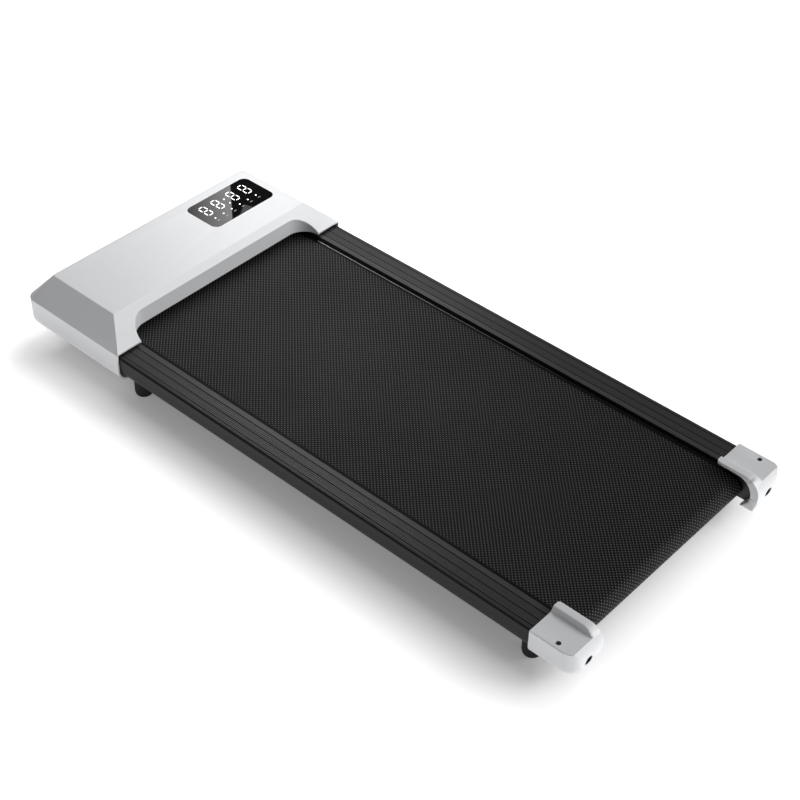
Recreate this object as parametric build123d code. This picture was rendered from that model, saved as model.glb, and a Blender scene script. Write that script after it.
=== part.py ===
from build123d import *
import math
import os

os.makedirs("parts", exist_ok=True)

# A flat walking pad. X runs from the motor head to the rear, Y across, Z up from the floor.

# Overall size
overall_length = 1142.0
overall_width = 510.0
overall_height = 122.0

# Fits, and how far a cut reaches past the face it opens
fit_gap = 0.3
running_gap = 0.04
screw_gap = 0.1
snap_gap = 0.2
cut_margin = 1.0

# Motor hood
hood_length = 230.0
hood_wall = 2.5
hood_slope_wall_share = 0.4
hood_bottom = 30.0
hood_skirt_top = 85.0
hood_side_slope = 39.0
hood_front_slope = 30.5
hood_rear_slope = 48.0
hood_lip_height = 87.0
hood_corner = 22.0
hood_top_corner = 6.0
hood_tuck = 20.0
hood_flange = 12.0
hood_edge_round = 1.2
hood_shortest_soft_edge = 5.0
recess_depth = 35.5
recess_corner = 36.0
recess_mouth = 83.6

# Hood screws
hood_screw_shank = 4.0
hood_screw_head = 7.5
hood_screw_head_height = 2.2
hood_screw_socket = 1.8
hood_screw_inset = 6.0
hood_screw_from_side = 135.0
hood_screw_side_step = 30.0

# Belly pan
pan_thickness = 2.0
pan_inset = 3.0
pan_front_corner = 8.0
pan_rear_corner = 3.0
pan_rear_reach = 2.0
vent_length = 22.0
vent_width = 4.0
vent_row_pitch = 9.0
vent_column_pitch = 32.0
vent_rows = 5
vent_columns = 3

# Running belt and rollers
belt_side_gap = 3.5
belt_thickness = 1.6
belt_top = 73.4
roller_diameter = 34.0
roller_wall = 2.0
roller_reach = 2.0
front_axis_from_hood_rear = 74.0
rear_axis_from_end = 51.0

# Axles and bearings
axle_diameter = 10.0
axle_end_reach = 3.0
axle_slot_travel = 12.0
axle_thread_depth = 16.0
axle_bolt_shank = 6.0
axle_bolt_reach = 14.0
axle_bolt_head = 12.0
axle_bolt_head_height = 4.5
axle_bolt_socket = 3.0
bearing_diameter = 30.0
bearing_width = 9.0
bearing_inset = 2.0
bearing_ring = 2.2
bearing_seal_depth = 1.0

# Running deck
deck_thickness = 12.0
deck_reach = 2.0
deck_roller_space = 6.0
deck_bevel = 2.0
cushion_diameter = 30.0
cushion_height = 5.3
cushion_inset = 37.0
cushion_bore_gap = 1.0
deck_screw_shank = 6.0
deck_screw_head = 12.0
deck_screw_head_height = 3.8
deck_screw_socket = 2.5
deck_screw_sink = 4.5
deck_screw_reach = 6.0

# Foot rails
rail_width = 48.0
rail_top = 79.5
rail_wall = 2.2
rail_tuck = 20.0
rail_tuck_start = 57.5
rail_lip_reach = 8.5
rail_inner_drop = 10.5
rail_flange_bottom = 55.5
rail_front_from_hood_rear = 47.0
rail_rear_from_end = 24.0
rail_outer_round = 4.0
rail_inner_round = 2.2
rail_hidden_round = 2.0
rail_small_round = 0.6
rail_rib_thickness = 2.0
rail_rib_inset = 2.0
rail_rib_root = 0.5
groove_inset = 11.0
groove_outer_margin = 8.4
groove_count = 3
groove_width = 1.8
groove_depth = 1.2
rib_line_width = 0.9
rib_line_depth = 0.45
rib_lines_per_band = 3
rib_lines_last_band = 1
rail_screw_shank = 4.0
rail_screw_reach = 8.0
rail_screw_head = 7.0
rail_screw_head_height = 2.6
rail_screw_socket = 1.8
rail_screw_drop = 17.5
rail_screw_count = 4
rail_screw_front_inset = 80.0
rail_screw_rear_inset = 90.0

# Frame
tube_width = 20.0
tube_height = 32.0
tube_wall = 1.8
tube_inset = 7.5
tube_bottom = 40.5
tube_corner = 3.0
tube_inner_corner_share = 0.6
tube_front_from_hood_rear = 44.0
tube_rear_from_end = 19.0
side_plate_thickness = 4.0
side_plate_overlap = 55.0
side_plate_front_space = 15.0
side_plate_bottom = 41.0
side_plate_top = 72.0
side_plate_corner = 6.0
side_plate_front_corner = 14.0
plate_bolt_shank = 6.0
plate_bolt_reach = 8.0
plate_bolt_head = 11.0
plate_bolt_head_height = 4.0
plate_bolt_socket = 3.0
plate_bolt_spacing = 27.0
plate_bolt_from_rear = 13.0
beam_width = 24.0
beam_wall = 1.8
beam_corner = 2.5
deck_beam_height = 16.0
front_beam_inset = 30.0
rear_beam_inset = 60.0
bay_beam_width = 16.0
bay_beam_height = 20.0
bay_gap = 77.0
belt_notch_floor = 39.5
belt_notch_gap = 3.0
end_plate_thickness = 3.0
tension_shank = 8.0
tension_head = 13.0
tension_head_height = 5.0
tension_socket = 3.4

# End caps
cap_length = 78.0
cap_wall = 3.2
cap_shelf = 82.0
cap_shelf_round = 1.5
cap_guard_top = 90.5
cap_guard_width = 13.5
cap_guard_slope = 5.0
cap_guard_inner_round = 2.0
cap_guard_outer_round = 3.0
cap_bottom = 33.0
cap_tuck = 20.0
cap_corner = 22.0
cap_front_corner = 6.0
cap_roll = 28.0
cap_rear_curve = 78.0
cap_hollow_round = 3.0
hook_radius = 28.0
hook_top = 85.5
hook_from_end = 41.0
hook_tip_from_end = 31.7
hook_front_reach = 10.0
cap_screw_from_end = 36.0
cap_screw_inset = 6.5
cap_screw_hole = 8.0
cap_screw_shank = 4.0
cap_screw_reach = 9.0
cap_screw_head_height = 1.8
cap_screw_socket = 1.6
access_hole = 16.0
access_start = 4.0

# Drive
pulley_width = 15.0
pulley_roller_gap = 2.0
pulley_spigot = 1.5
pulley_axle_gap = 1.5
pulley_diameter = 42.0
pulley_rim = 0.8
pulley_rim_run = 0.4
motor_pulley_diameter = 20.0
belt_rib_pitch = 2.34
belt_ribs = 5
belt_rib_depth = 1.4
belt_rib_width_share = 0.3
belt_rib_depth_share = 0.4
drive_belt_back = 1.6

# Motor
motor_wall = 3.0
motor_length = 144.0
motor_floor_gap = 0.5
motor_roof_gap = 6.5
motor_pulley_space = 22.0
shaft_diameter = 10.0
shaft_reach = 2.0
end_bell = 7.0
end_bell_slope = 6.0
end_bell_rim = 1.0
end_bell_round = 3.0
end_bell_edge = 0.5
pilot_diameter = 24.0
air_gap = 6.0
core_inset = 18.0
commutator_start = 5.0
commutator_end = 14.0
commutator_share = 0.55
fan_inset = 5.0
fan_width = 10.0
fan_blades = 9
fan_hub = 22.0
fan_disc = 2.0
fan_blade_thickness = 1.6
fan_motor_gap = 2.0
fan_blade_inset = 0.5
fan_root = 1.0

# Motor bracket and saddle
bracket_thickness = 3.0
bracket_shoulder = 14.0
bracket_shoulder_round = 4.0
bracket_top_half = 28.0
bracket_top_round = 12.0
bracket_top_drop = 4.0
bracket_skirt = 12.0
bracket_skirt_round = 3.0
bracket_foot = 12.0
motor_screw_shank = 4.0
motor_screw_reach = 4.0
motor_screw_head = 7.0
motor_screw_head_height = 3.0
motor_screw_socket = 1.8
motor_screw_inset = 11.0
motor_screw_depth = 5.0
motor_screw_count = 4
saddle_inset = 6.0
saddle_width = 14.0
saddle_height = 12.0
saddle_round = 4.0
saddle_edge = 1.0
strap_thickness = 1.5
strap_inset = 2.0
strap_ear_out = 10.0
strap_ear_in = 3.0

# Feet
foot_diameter = 30.0
foot_base_diameter = 27.0
foot_base_round = 1.5
foot_flare_height = 6.0
foot_flare_round = 2.0
foot_bore = 12.0
foot_screw_shank = 5.0
foot_screw_seat = 8.0
foot_screw_reach = 6.0
foot_screw_head = 10.0
foot_screw_head_height = 3.0
foot_screw_socket = 2.0
front_foot_from_hood_rear = 17.0
rear_foot_from_end = 93.0

# Transport wheels
wheel_diameter = 26.0
wheel_width = 16.0
wheel_floor_gap = 1.5
wheel_inset = 80.0
wheel_from_front = 51.0
wheel_hub = 3.0
wheel_dish = 2.0
wheel_rim = 3.0
wheel_rim_slope = 1.0
wheel_edge_round = 2.0
wheel_axle_diameter = 6.0
wheel_axle_head = 10.0
wheel_axle_head_width = 2.0
wheel_axle_reach = 1.5
wheel_side_gap = 0.6
bracket_sheet = 2.0
wheel_bracket_half = 14.0
cheek_top_half = 12.0
cheek_low_half = 6.0
cheek_round = 5.0

# Display
lens_length = 70.0
lens_width = 132.0
lens_corner = 12.0
lens_from_front = 90.0
lens_inset = 126.0
lens_flange = 4.0
lens_flange_thickness = 1.2
lens_sink = 0.1
post_diameter = 5.0
post_height = 5.2
post_inset = 5.0
board_thickness = 1.6
board_inset = 3.0
board_corner = 3.0
digit_count = 4
digit_height = 19.0
digit_width = 13.0
digit_pitch = 16.0
digit_lift = 4.0
digit_gap = 0.4
lamp_count = 5
lamp_size = 3.0
lamp_height = 1.6
lamp_inset = 14.0
lamp_pitch = 12.0
board_plug_length = 8.0
board_plug_width = 12.0
board_plug_height = 3.0
board_plug_inset = 14.0

# Control tray and board
tray_inset = 103.0
tray_fan_space = 26.0
tray_thickness = 2.0
tray_rim = 10.0
tray_post_diameter = 6.0
tray_post_inset = 10.0
tray_post_end_inset = 12.0
board_lift = 8.0
board_front_inset = 4.0
board_end_inset = 5.0
capacitor_count = 3
capacitor_diameter = 18.0
capacitor_height = 26.0
capacitor_pitch = 21.0
capacitor_first = 24.0
capacitor_row = 0.2
block_length = 28.0
block_row_start = 0.28
block_row_end = 0.415
front_block_place = -34.0
front_block_height = 16.0
rear_block_place = 4.0
rear_block_height = 20.0
choke_diameter = 26.0
choke_bore = 12.0
choke_height = 11.0
choke_place = -20.0
choke_row = 0.585
terminal_length = 26.0
terminal_width = 9.0
terminal_height = 12.0
mains_terminal_place = -30.0
mains_terminal_inset = 6.0
motor_terminal_place = -22.0
sensor_terminal_place = 8.0
motor_terminal_inset = 20.0
tray_plug_inset = 6.0
tray_plug_length = 8.0
tray_plug_width = 12.0
tray_plug_height = 6.0
tray_plug_end_inset = 36.0

# Heat sink
sink_place = 4.0
sink_length = 34.0
sink_row_start = 0.475
sink_row_end = 0.72
sink_base = 3.0
sink_fin_count = 7
sink_fin_pitch = 5.5
sink_fin_thickness = 1.0
sink_height = 22.0

# Power panel
panel_width = 74.0
panel_height = 27.0
panel_corner = 4.0
panel_inner_corner = 2.0
panel_inset = 63.0
panel_centre_height = 67.5
panel_depth = 9.0
panel_wall = 2.0
panel_flange_width = 4.0
panel_flange_height = 2.5
panel_flange_corner = 5.0
panel_flange_thickness = 1.5

# Mains inlet
inlet_width = 27.0
inlet_height = 19.5
inlet_offset = -13.0
inlet_depth = 20.0
inlet_flange_width = 1.5
inlet_flange_height = 1.25
inlet_flange_corner = 2.0
inlet_flange_thickness = 2.0
socket_half_width = 11.5
socket_half_height = 7.5
socket_shoulder_half = 7.5
socket_shoulder_height = 3.0
socket_round = 1.0
socket_depth = 16.0
pin_width = 2.0
pin_height = 4.0
pin_spread = 7.0
pin_lift = 2.0
pin_start = 3.0
pin_end = 17.0
tab_thickness = 0.8
tab_height = 5.0
tab_root = 1.0
inlet_tab_reach = 26.0

# Power switch
switch_width = 19.0
switch_height = 13.0
switch_offset = 19.0
switch_depth = 16.0
switch_room_depth = 8.0
switch_frame_wall = 1.0
switch_tab_spread = 4.0
switch_tab_reach = 22.0
switch_tilt = 8.0
switch_pivot_lift = 1.0
rocker_side_gap = 1.8
rocker_end_gap = 1.6
rocker_crest = 3.6
rocker_valley = 1.8
rocker_root = 1.2
rocker_root_inset = 1.0
rocker_round = 0.6
rocker_root_round = 0.4

# Speed sensor
sensor_from_tube = 6.5
sensor_half_length = 6.0
sensor_half_width = 3.0
sensor_below = 4.0
sensor_above = 9.0
sensor_drop = 8.0
sensor_ear_low = 5.0
sensor_ear_high = 7.0
sensor_ear_root = 0.5
magnet_diameter = 5.0
magnet_height = 2.0
magnet_drop = 7.0

# Inner leads
lead_diameter = 2.6
lead_bend = 7.0
lead_tight_bend = 4.0
lead_stub = 6.0
lead_landing = 15.5
motor_lead_rise = 6.0
motor_lead_inset = 3.0
motor_lead_bend_share = 0.9
motor_lead_places = (8.0, 14.0)
display_lead_inset = 8.0
mains_loop = 12.0
mains_cross_height = 9.0
neutral_lead_place = 12.0
switched_lead_place = 22.0
sensor_lead_front = 3.0
sensor_lead_side = 1.0
sensor_lead_level = 5.5
sensor_lead_drop = 60.0
sensor_lead_straight = 16.0
sensor_lead_turn = 40.0
sensor_lead_end = 30.0
sensor_lead_rise = 14.0
sensor_lead_lift = 2.0
sensor_lead_height = 4.0

# Places worked out from the sizes above, along the pad
half_length = overall_length / 2
hood_front = -half_length
hood_rear = hood_front + hood_length
front_axis = hood_rear - front_axis_from_hood_rear
rear_axis = half_length - rear_axis_from_end
roller_radius = roller_diameter / 2
deck_front = front_axis + roller_radius + deck_roller_space
deck_rear = rear_axis - roller_radius - deck_roller_space
tube_front = hood_rear - tube_front_from_hood_rear
tube_rear = half_length - tube_rear_from_end
rail_front = hood_rear - rail_front_from_hood_rear
rail_rear = half_length - rail_rear_from_end
plate_front = hood_front + side_plate_front_space
plate_rear = tube_front + side_plate_overlap
rear_plate_bolt = plate_rear - plate_bolt_from_rear
plate_bolt_places = (rear_plate_bolt - plate_bolt_spacing, rear_plate_bolt)
front_bay_beam = plate_front
rear_bay_beam = plate_front + bay_beam_width + bay_gap
bay_beam_places = (front_bay_beam, rear_bay_beam)
motor_x = plate_front + bay_beam_width + bay_gap / 2
lens_x = hood_front + lens_from_front
wheel_x = hood_front + wheel_from_front
deck_beam_places = (deck_front + front_beam_inset, (deck_front + deck_rear) / 2, deck_rear - rear_beam_inset)
foot_places = (hood_rear + front_foot_from_hood_rear, half_length - rear_foot_from_end)
tray_front = front_bay_beam
tray_rear = rear_bay_beam + bay_beam_width
panel_back = hood_front + panel_depth
panel_face = panel_back - panel_wall
switch_pivot = panel_back - switch_pivot_lift

# Places across the pad
half_width = overall_width / 2
rail_outer = half_width - cap_wall - fit_gap
rail_inner = rail_outer - rail_width
recess_half_width = rail_inner
belt_half_width = rail_inner - belt_side_gap
roller_half_length = belt_half_width + roller_reach
deck_half_width = belt_half_width + deck_reach
cushion_spread = deck_half_width - cushion_inset
tube_inner = rail_inner + tube_inset
tube_centre = tube_inner + tube_width / 2
tube_outer = tube_inner + tube_width
plate_outer = tube_outer + side_plate_thickness
groove_first = rail_inner + groove_inset
groove_pitch = (rail_width - groove_inset - groove_outer_margin) / (groove_count - 1)
pulley_start = roller_half_length + pulley_roller_gap
pulley_end = pulley_start + pulley_width
motor_head = pulley_start - motor_pulley_space
motor_tail = motor_head - motor_length
wheel_offset = half_width - wheel_inset
lens_offset = half_width - lens_inset
tray_start = tray_inset - half_width
tray_end = motor_tail - tray_fan_space
tray_length = tray_end - tray_start
panel_offset = panel_inset - half_width
inlet_y = panel_offset + inlet_offset
switch_y = panel_offset + switch_offset
cap_screw_offset = rail_outer - cap_screw_inset

# Places up from the floor
belt_inner_radius = roller_radius + fit_gap
belt_outer_radius = belt_inner_radius + belt_thickness
axis_height = belt_top - belt_outer_radius
deck_top = belt_top - belt_thickness
deck_bottom = deck_top - deck_thickness
beam_top = deck_bottom - cushion_height
tube_top = tube_bottom + tube_height
plate_bolt_height = tube_bottom + tube_height / 2
rail_screw_height = rail_top - rail_screw_drop
pan_bottom = hood_bottom + hood_wall
pan_top = pan_bottom + pan_thickness
bay_top = pan_top + bay_beam_height
lens_seat = overall_height - hood_wall
lens_under = lens_seat - lens_flange_thickness
display_board_top = lens_under - post_height
display_board_under = display_board_top - board_thickness
motor_diameter = display_board_under - motor_roof_gap - pan_top - motor_floor_gap
motor_radius = motor_diameter / 2
motor_height = pan_top + motor_floor_gap + motor_radius
fan_radius = motor_radius - fan_inset
motor_screw_circle = motor_radius - motor_screw_inset
wheel_height = wheel_diameter / 2 + wheel_floor_gap
board_height = bay_top + board_lift
board_top = board_height + board_thickness
sides = (-1, 1)


# Helpers

def along_x(sketch, start, end):
    """Extrudes a section drawn in Y and Z from one X to another."""
    return extrude(Plane.YZ.offset(start) * sketch, amount=end - start)


def along_y(sketch, start, end):
    """Extrudes a side view drawn in X and Z from one Y to another."""
    return extrude(Plane.XZ.offset(-end) * sketch, amount=end - start)


def along_z(sketch, start, end):
    """Extrudes a plan drawn in X and Y from one height to another."""
    return extrude(Plane.XY.offset(start) * sketch, amount=end - start)


def outline(*corners):
    """Closes a face through corners of two places and a rounding radius."""
    points = [corner[:2] for corner in corners]
    face = make_face(Polyline(*points, close=True))
    for u, v, radius in corners:
        if radius > 0:
            vertex = face.vertices().sort_by_distance(Vector(u, v, 0))[0]
            face = fillet(vertex, radius)
    return face


def span(low_u, low_v, high_u, high_v):
    """A rectangle between two corners."""
    return Pos((low_u + high_u) / 2, (low_v + high_v) / 2) * Rectangle(high_u - low_u, high_v - low_v)


def rod_x(radius, start, end, y, z):
    return along_x(Pos(y, z) * Circle(radius), start, end)


def rod_y(radius, start, end, x, z):
    return along_y(Pos(x, z) * Circle(radius), start, end)


def rod_z(radius, start, end, x, y):
    return along_z(Pos(x, y) * Circle(radius), start, end)


def turned_y(profile, x, z):
    """Turns a profile of radius and Y about a crosswise axis."""
    return Pos(x, 0, z) * revolve(profile, Axis.Y)


def other_side(solid):
    return mirror(solid, about=Plane.XZ)


def group(solids):
    """Joins separate like solids into one node."""
    joined = solids[0]
    for solid in solids[1:]:
        joined = joined + solid
    return joined


def screw(shank, length, head, head_height, socket):
    """A screw standing on the origin, its head above and its shank below, with a hexagon socket."""
    head_round = head_height * 0.3
    tip_bevel = shank * 0.15
    socket_floor = head_height * 0.4
    body = rod_z(head / 2, 0, head_height, 0, 0)
    body = fillet(body.edges().group_by(Axis.Z)[-1], head_round)
    body = body + rod_z(shank / 2, -length, 0, 0, 0)
    body = chamfer(body.edges().group_by(Axis.Z)[0], tip_bevel)
    return body - along_z(RegularPolygon(socket, 6), socket_floor, head_height)


def rounded_tube(width, height, wall, corner):
    """A closed tube's section."""
    inner_corner = corner - wall * tube_inner_corner_share
    return RectangleRounded(width, height, corner) - RectangleRounded(
        width - 2 * wall, height - 2 * wall, inner_corner)


def lead(points, bend):
    """A cord along straight runs joined by tangent arcs."""
    path = FilletPolyline(*points, radius=bend)
    return sweep(Plane(path @ 0, z_dir=path % 0) * Circle(lead_diameter / 2), path=path)


def save(node, solid):
    export_step(solid, f"parts/{node}.step")


def save_pair(node, solid):
    """Writes one piece for the right side and its mirror for the left."""
    save(f"right_{node}", solid)
    save(f"left_{node}", other_side(solid))


# Motor hood

def hood_plan(front, half, corner):
    """The hood's plan, square at the rear and rounded at the front."""
    past_rear = hood_rear + hood_length
    return outline((front, -half, corner), (front, half, corner), (past_rear, half, 0), (past_rear, -half, 0))


def hood_form(inset):
    """The hood's faceted outside, or its inside when set in by the wall."""
    slope_inset = inset * hood_slope_wall_share
    front = hood_front + inset
    half = half_width - inset
    bottom = hood_bottom + inset
    shoulder = hood_skirt_top - slope_inset
    top = overall_height - inset
    skirt = along_z(hood_plan(front, half, hood_corner - inset), bottom, shoulder)
    lowest = skirt.faces().sort_by(Axis.Z)[0]
    rear_most = lowest.edges().sort_by(Axis.X)[-1]
    skirt = fillet([edge for edge in lowest.edges() if edge != rear_most], hood_tuck - inset)
    crown_front = hood_front + hood_front_slope + slope_inset
    crown_half = half_width - hood_side_slope - slope_inset
    crown = loft([
        Plane.XY.offset(shoulder) * hood_plan(front, half, hood_corner - inset),
        Plane.XY.offset(top) * hood_plan(crown_front, crown_half, hood_top_corner - slope_inset),
    ], ruled=True)
    return skirt + crown


def rear_cut(inset):
    """What lies behind the hood's rear slope."""
    lip = hood_lip_height - inset
    edge = hood_rear - hood_rear_slope - inset * hood_slope_wall_share
    rise = (overall_height - hood_lip_height) / hood_rear_slope
    far = hood_rear + 2 * hood_length
    top = lip + rise * (hood_rear - edge)
    sky = 2 * overall_height
    above = outline((edge, top, 0), (far, lip - rise * (far - hood_rear), 0), (far, sky, 0), (edge, sky, 0))
    return along_y(above, -overall_width, overall_width)


def recess_plan(grow):
    """The recess that lets the belt run under the hood's rear."""
    front = hood_rear - recess_depth - grow
    half = recess_half_width + grow
    past_rear = hood_rear + hood_length
    corner = recess_corner + grow
    return outline((front, -half, corner), (front, half, corner), (past_rear, half, 0), (past_rear, -half, 0))


def hood_outside():
    """The hood's full form with its slopes softened."""
    form = hood_form(0) - rear_cut(0) - along_z(recess_plan(0), 0, 2 * overall_height)
    behind = span(-overall_width, 0, overall_width, 2 * overall_height)
    form = form - along_x(behind, hood_rear, hood_rear + 2 * hood_length)
    shoulder = hood_skirt_top - cut_margin
    upper = form.edges().filter_by_position(Axis.Z, shoulder, overall_height + cut_margin)
    soft = [edge for edge in upper
            if edge.length > hood_shortest_soft_edge and edge.bounding_box().max.X < hood_rear - cut_margin]
    return fillet(soft, hood_edge_round)


def motor_hood():
    inside = hood_form(hood_wall) - rear_cut(hood_wall) - along_z(recess_plan(hood_wall), 0, overall_height)
    hood = hood_outside() - inside
    mouth_half = recess_half_width + hood_wall + cut_margin
    mouth_front = hood_rear - recess_depth - recess_corner - hood_wall
    mouth = span(mouth_front, -mouth_half, hood_rear + cut_margin, mouth_half)
    hood = hood - along_z(mouth, hood_bottom - cut_margin, recess_mouth)
    opening_front = hood_front + hood_tuck + hood_flange
    opening_half = half_width - hood_tuck - hood_flange
    opening = span(opening_front, -opening_half, hood_rear + cut_margin, opening_half)
    hood = hood - along_z(opening, hood_bottom - cut_margin, pan_bottom + cut_margin)
    window = Pos(lens_x, lens_offset) * RectangleRounded(lens_length, lens_width, lens_corner)
    hood = hood - along_z(window, overall_height - 2 * hood_wall, overall_height + cut_margin)
    panel_hole = panel_place(0) * RectangleRounded(panel_width, panel_height, panel_corner)
    hood = hood - along_x(panel_hole, hood_front - cut_margin, hood_front + 2 * hood_wall)
    hole = hood_screw_shank / 2 + fit_gap
    for x, y in hood_screw_places():
        hood = hood - rod_z(hole, hood_bottom - cut_margin, pan_bottom + cut_margin, x, y)
    return hood


def hood_screw_places():
    inset = hood_tuck + hood_screw_inset
    side = half_width - inset
    front = hood_front + inset
    spread = half_width - hood_screw_from_side
    row = [(front, spread), (front + hood_screw_side_step, side), (rear_bay_beam - hood_screw_inset, side)]
    return [(x, end * y) for x, y in row for end in sides]


def hood_screws():
    length = pan_top - hood_bottom
    one = screw(hood_screw_shank, length, hood_screw_head, hood_screw_head_height, hood_screw_socket)
    return group([Pos(x, y, hood_bottom) * Rot(180, 0, 0) * one for x, y in hood_screw_places()])


def belly_pan():
    front = hood_front + hood_tuck + pan_inset
    half = half_width - hood_tuck - pan_inset
    rear = rear_bay_beam + bay_beam_width + pan_rear_reach
    plan = outline((front, -half, pan_front_corner), (front, half, pan_front_corner),
                   (rear, half, pan_rear_corner), (rear, -half, pan_rear_corner))
    plate = along_z(plan, pan_bottom, pan_top)
    slot = SlotCenterToCenter(vent_length, vent_width)
    motor_middle = (motor_tail + motor_head) / 2
    for row in range(vent_rows):
        for column in range(vent_columns):
            x = motor_x + (row - (vent_rows - 1) / 2) * vent_row_pitch
            y = motor_middle + (column - (vent_columns - 1) / 2) * vent_column_pitch
            plate = plate - along_z(Pos(x, y) * slot, pan_bottom - cut_margin, pan_top + cut_margin)
    hole = hood_screw_shank / 2 + screw_gap
    for x, y in hood_screw_places():
        plate = plate - rod_z(hole, pan_bottom - cut_margin, pan_top + cut_margin, x, y)
    return plate


# Frame

def frame_tube():
    section = rounded_tube(tube_width, tube_height, tube_wall, tube_corner)
    section = Pos(tube_centre, plate_bolt_height) * section
    tube = along_x(section, tube_front, tube_rear)
    slot = Pos(rear_axis, axis_height) * SlotCenterToCenter(axle_slot_travel, axle_diameter + 2 * fit_gap)
    tube = tube - along_y(slot, tube_inner - cut_margin, tube_inner + tube_wall + cut_margin)
    bolt_hole = plate_bolt_shank / 2 + screw_gap
    for x in plate_bolt_places:
        tube = tube - rod_y(bolt_hole, tube_centre, tube_outer + cut_margin, x, plate_bolt_height)
    screw_hole = rail_screw_shank / 2 + screw_gap
    for x in rail_screw_places():
        tube = tube - rod_y(screw_hole, tube_inner - cut_margin, tube_centre, x, rail_screw_height)
    foot_hole = foot_screw_shank / 2 + screw_gap
    for x in foot_places:
        tube = tube - rod_z(foot_hole, tube_bottom - cut_margin, plate_bolt_height, x, tube_centre)
    return tube


def side_plate():
    profile = outline((plate_front, side_plate_bottom, side_plate_corner),
                      (plate_rear, side_plate_bottom, side_plate_corner),
                      (plate_rear, side_plate_top, side_plate_corner),
                      (plate_front, side_plate_top, side_plate_front_corner))
    plate = along_y(profile, tube_outer, plate_outer)
    low = tube_outer - cut_margin
    high = plate_outer + cut_margin
    plate = plate - rod_y(axle_bolt_shank / 2 + fit_gap, low, high, front_axis, axis_height)
    for x in plate_bolt_places:
        plate = plate - rod_y(plate_bolt_shank / 2 + fit_gap, low, high, x, plate_bolt_height)
    return plate


def plate_bolts():
    length = side_plate_thickness + plate_bolt_reach
    bolt = screw(plate_bolt_shank, length, plate_bolt_head, plate_bolt_head_height, plate_bolt_socket)
    row = group([Pos(x, plate_outer, plate_bolt_height) * Rot(-90, 0, 0) * bolt for x in plate_bolt_places])
    return row + other_side(row)


def cross_tube(x, low, width, height, half):
    """A rectangular beam that starts at x and reaches across between the frame's sides."""
    section = Pos(x + width / 2, low + height / 2) * rounded_tube(width, height, beam_wall, beam_corner)
    return along_y(section, -half, half)


def deck_beams():
    low = beam_top - deck_beam_height
    beams = group([cross_tube(x - beam_width / 2, low, beam_width, deck_beam_height, tube_inner)
                   for x in deck_beam_places])
    hole = deck_screw_shank / 2 + screw_gap
    for x, y in cushion_places():
        beams = beams - rod_z(hole, low + beam_wall, beam_top + cut_margin, x, y)
    return beams


def bay_beams():
    beams = group([cross_tube(x, pan_top, bay_beam_width, bay_beam_height, tube_outer)
                   for x in bay_beam_places])
    notch = span(rear_bay_beam - cut_margin, pulley_start - belt_notch_gap,
                 rear_bay_beam + bay_beam_width + cut_margin, pulley_end + belt_notch_gap)
    return beams - along_z(notch, belt_notch_floor, bay_top + cut_margin)


def tube_end_plates():
    section = Pos(tube_centre, plate_bolt_height) * RectangleRounded(tube_width, tube_height, tube_corner)
    rear = tube_rear + end_plate_thickness
    plate = along_x(section, tube_rear, rear)
    hole = tension_shank / 2 + fit_gap
    plate = plate - rod_x(hole, tube_rear - cut_margin, rear + cut_margin, tube_centre, axis_height)
    return plate + other_side(plate)


def tension_bolts():
    seat = tube_rear + end_plate_thickness
    length = seat - rear_axis + axle_diameter / 2
    bolt = screw(tension_shank, length, tension_head, tension_head_height, tension_socket)
    bolt = Pos(seat, tube_centre, axis_height) * Rot(0, 90, 0) * bolt
    return bolt + other_side(bolt)


# Foot rails

def rail_grooves():
    """Main grooves and the fine lines between them, on the rail's top."""
    cuts = []
    above = rail_top + cut_margin
    for band in range(groove_count):
        place = groove_first + band * groove_pitch
        cuts.append(span(place - groove_width / 2, rail_top - groove_depth, place + groove_width / 2, above))
        step = groove_pitch / (rib_lines_per_band + 1)
        lines = rib_lines_per_band if band < groove_count - 1 else rib_lines_last_band
        for line in range(1, lines + 1):
            at = place + line * step
            half = rib_line_width / 2
            cuts.append(span(at - half, rail_top - rib_line_depth, at + half, above))
    return Sketch() + cuts


def rail_section():
    ledge = rail_top - rail_inner_drop
    under_top = rail_top - rail_wall
    outer_in = rail_outer - rail_wall
    inner_in = rail_inner + rail_wall
    cover = outline(
        (rail_inner, ledge, rail_small_round), (rail_inner, rail_top, rail_inner_round),
        (rail_outer, rail_top, rail_outer_round), (rail_outer, rail_tuck_start, 0),
        (outer_in, rail_tuck_start, 0),
        (outer_in, under_top, rail_hidden_round), (inner_in, under_top, rail_small_round),
        (inner_in, ledge + rail_wall, rail_small_round), (tube_inner, ledge + rail_wall, 0),
        (tube_inner, rail_flange_bottom, 0), (tube_inner - rail_wall, rail_flange_bottom, rail_small_round),
        (tube_inner - rail_wall, ledge, 0))
    centre = rail_outer - rail_tuck
    ring = Pos(centre, rail_tuck_start) * (Circle(rail_tuck) - Circle(rail_tuck - rail_wall))
    tuck = ring & span(rail_outer - rail_lip_reach, rail_tuck_start - rail_tuck, rail_outer + cut_margin,
                       rail_tuck_start)
    section = cover + tuck
    inner_rib = tube_inner + rail_rib_inset
    outer_rib = tube_outer - rail_rib_inset - rail_rib_thickness
    for place in (inner_rib, outer_rib):
        section = section + span(place, tube_top, place + rail_rib_thickness, under_top + rail_rib_root)
    return section - rail_grooves()


def rail_screw_places():
    first = deck_front + rail_screw_front_inset
    step = (deck_rear - rail_screw_rear_inset - first) / (rail_screw_count - 1)
    return [first + index * step for index in range(rail_screw_count)]


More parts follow.
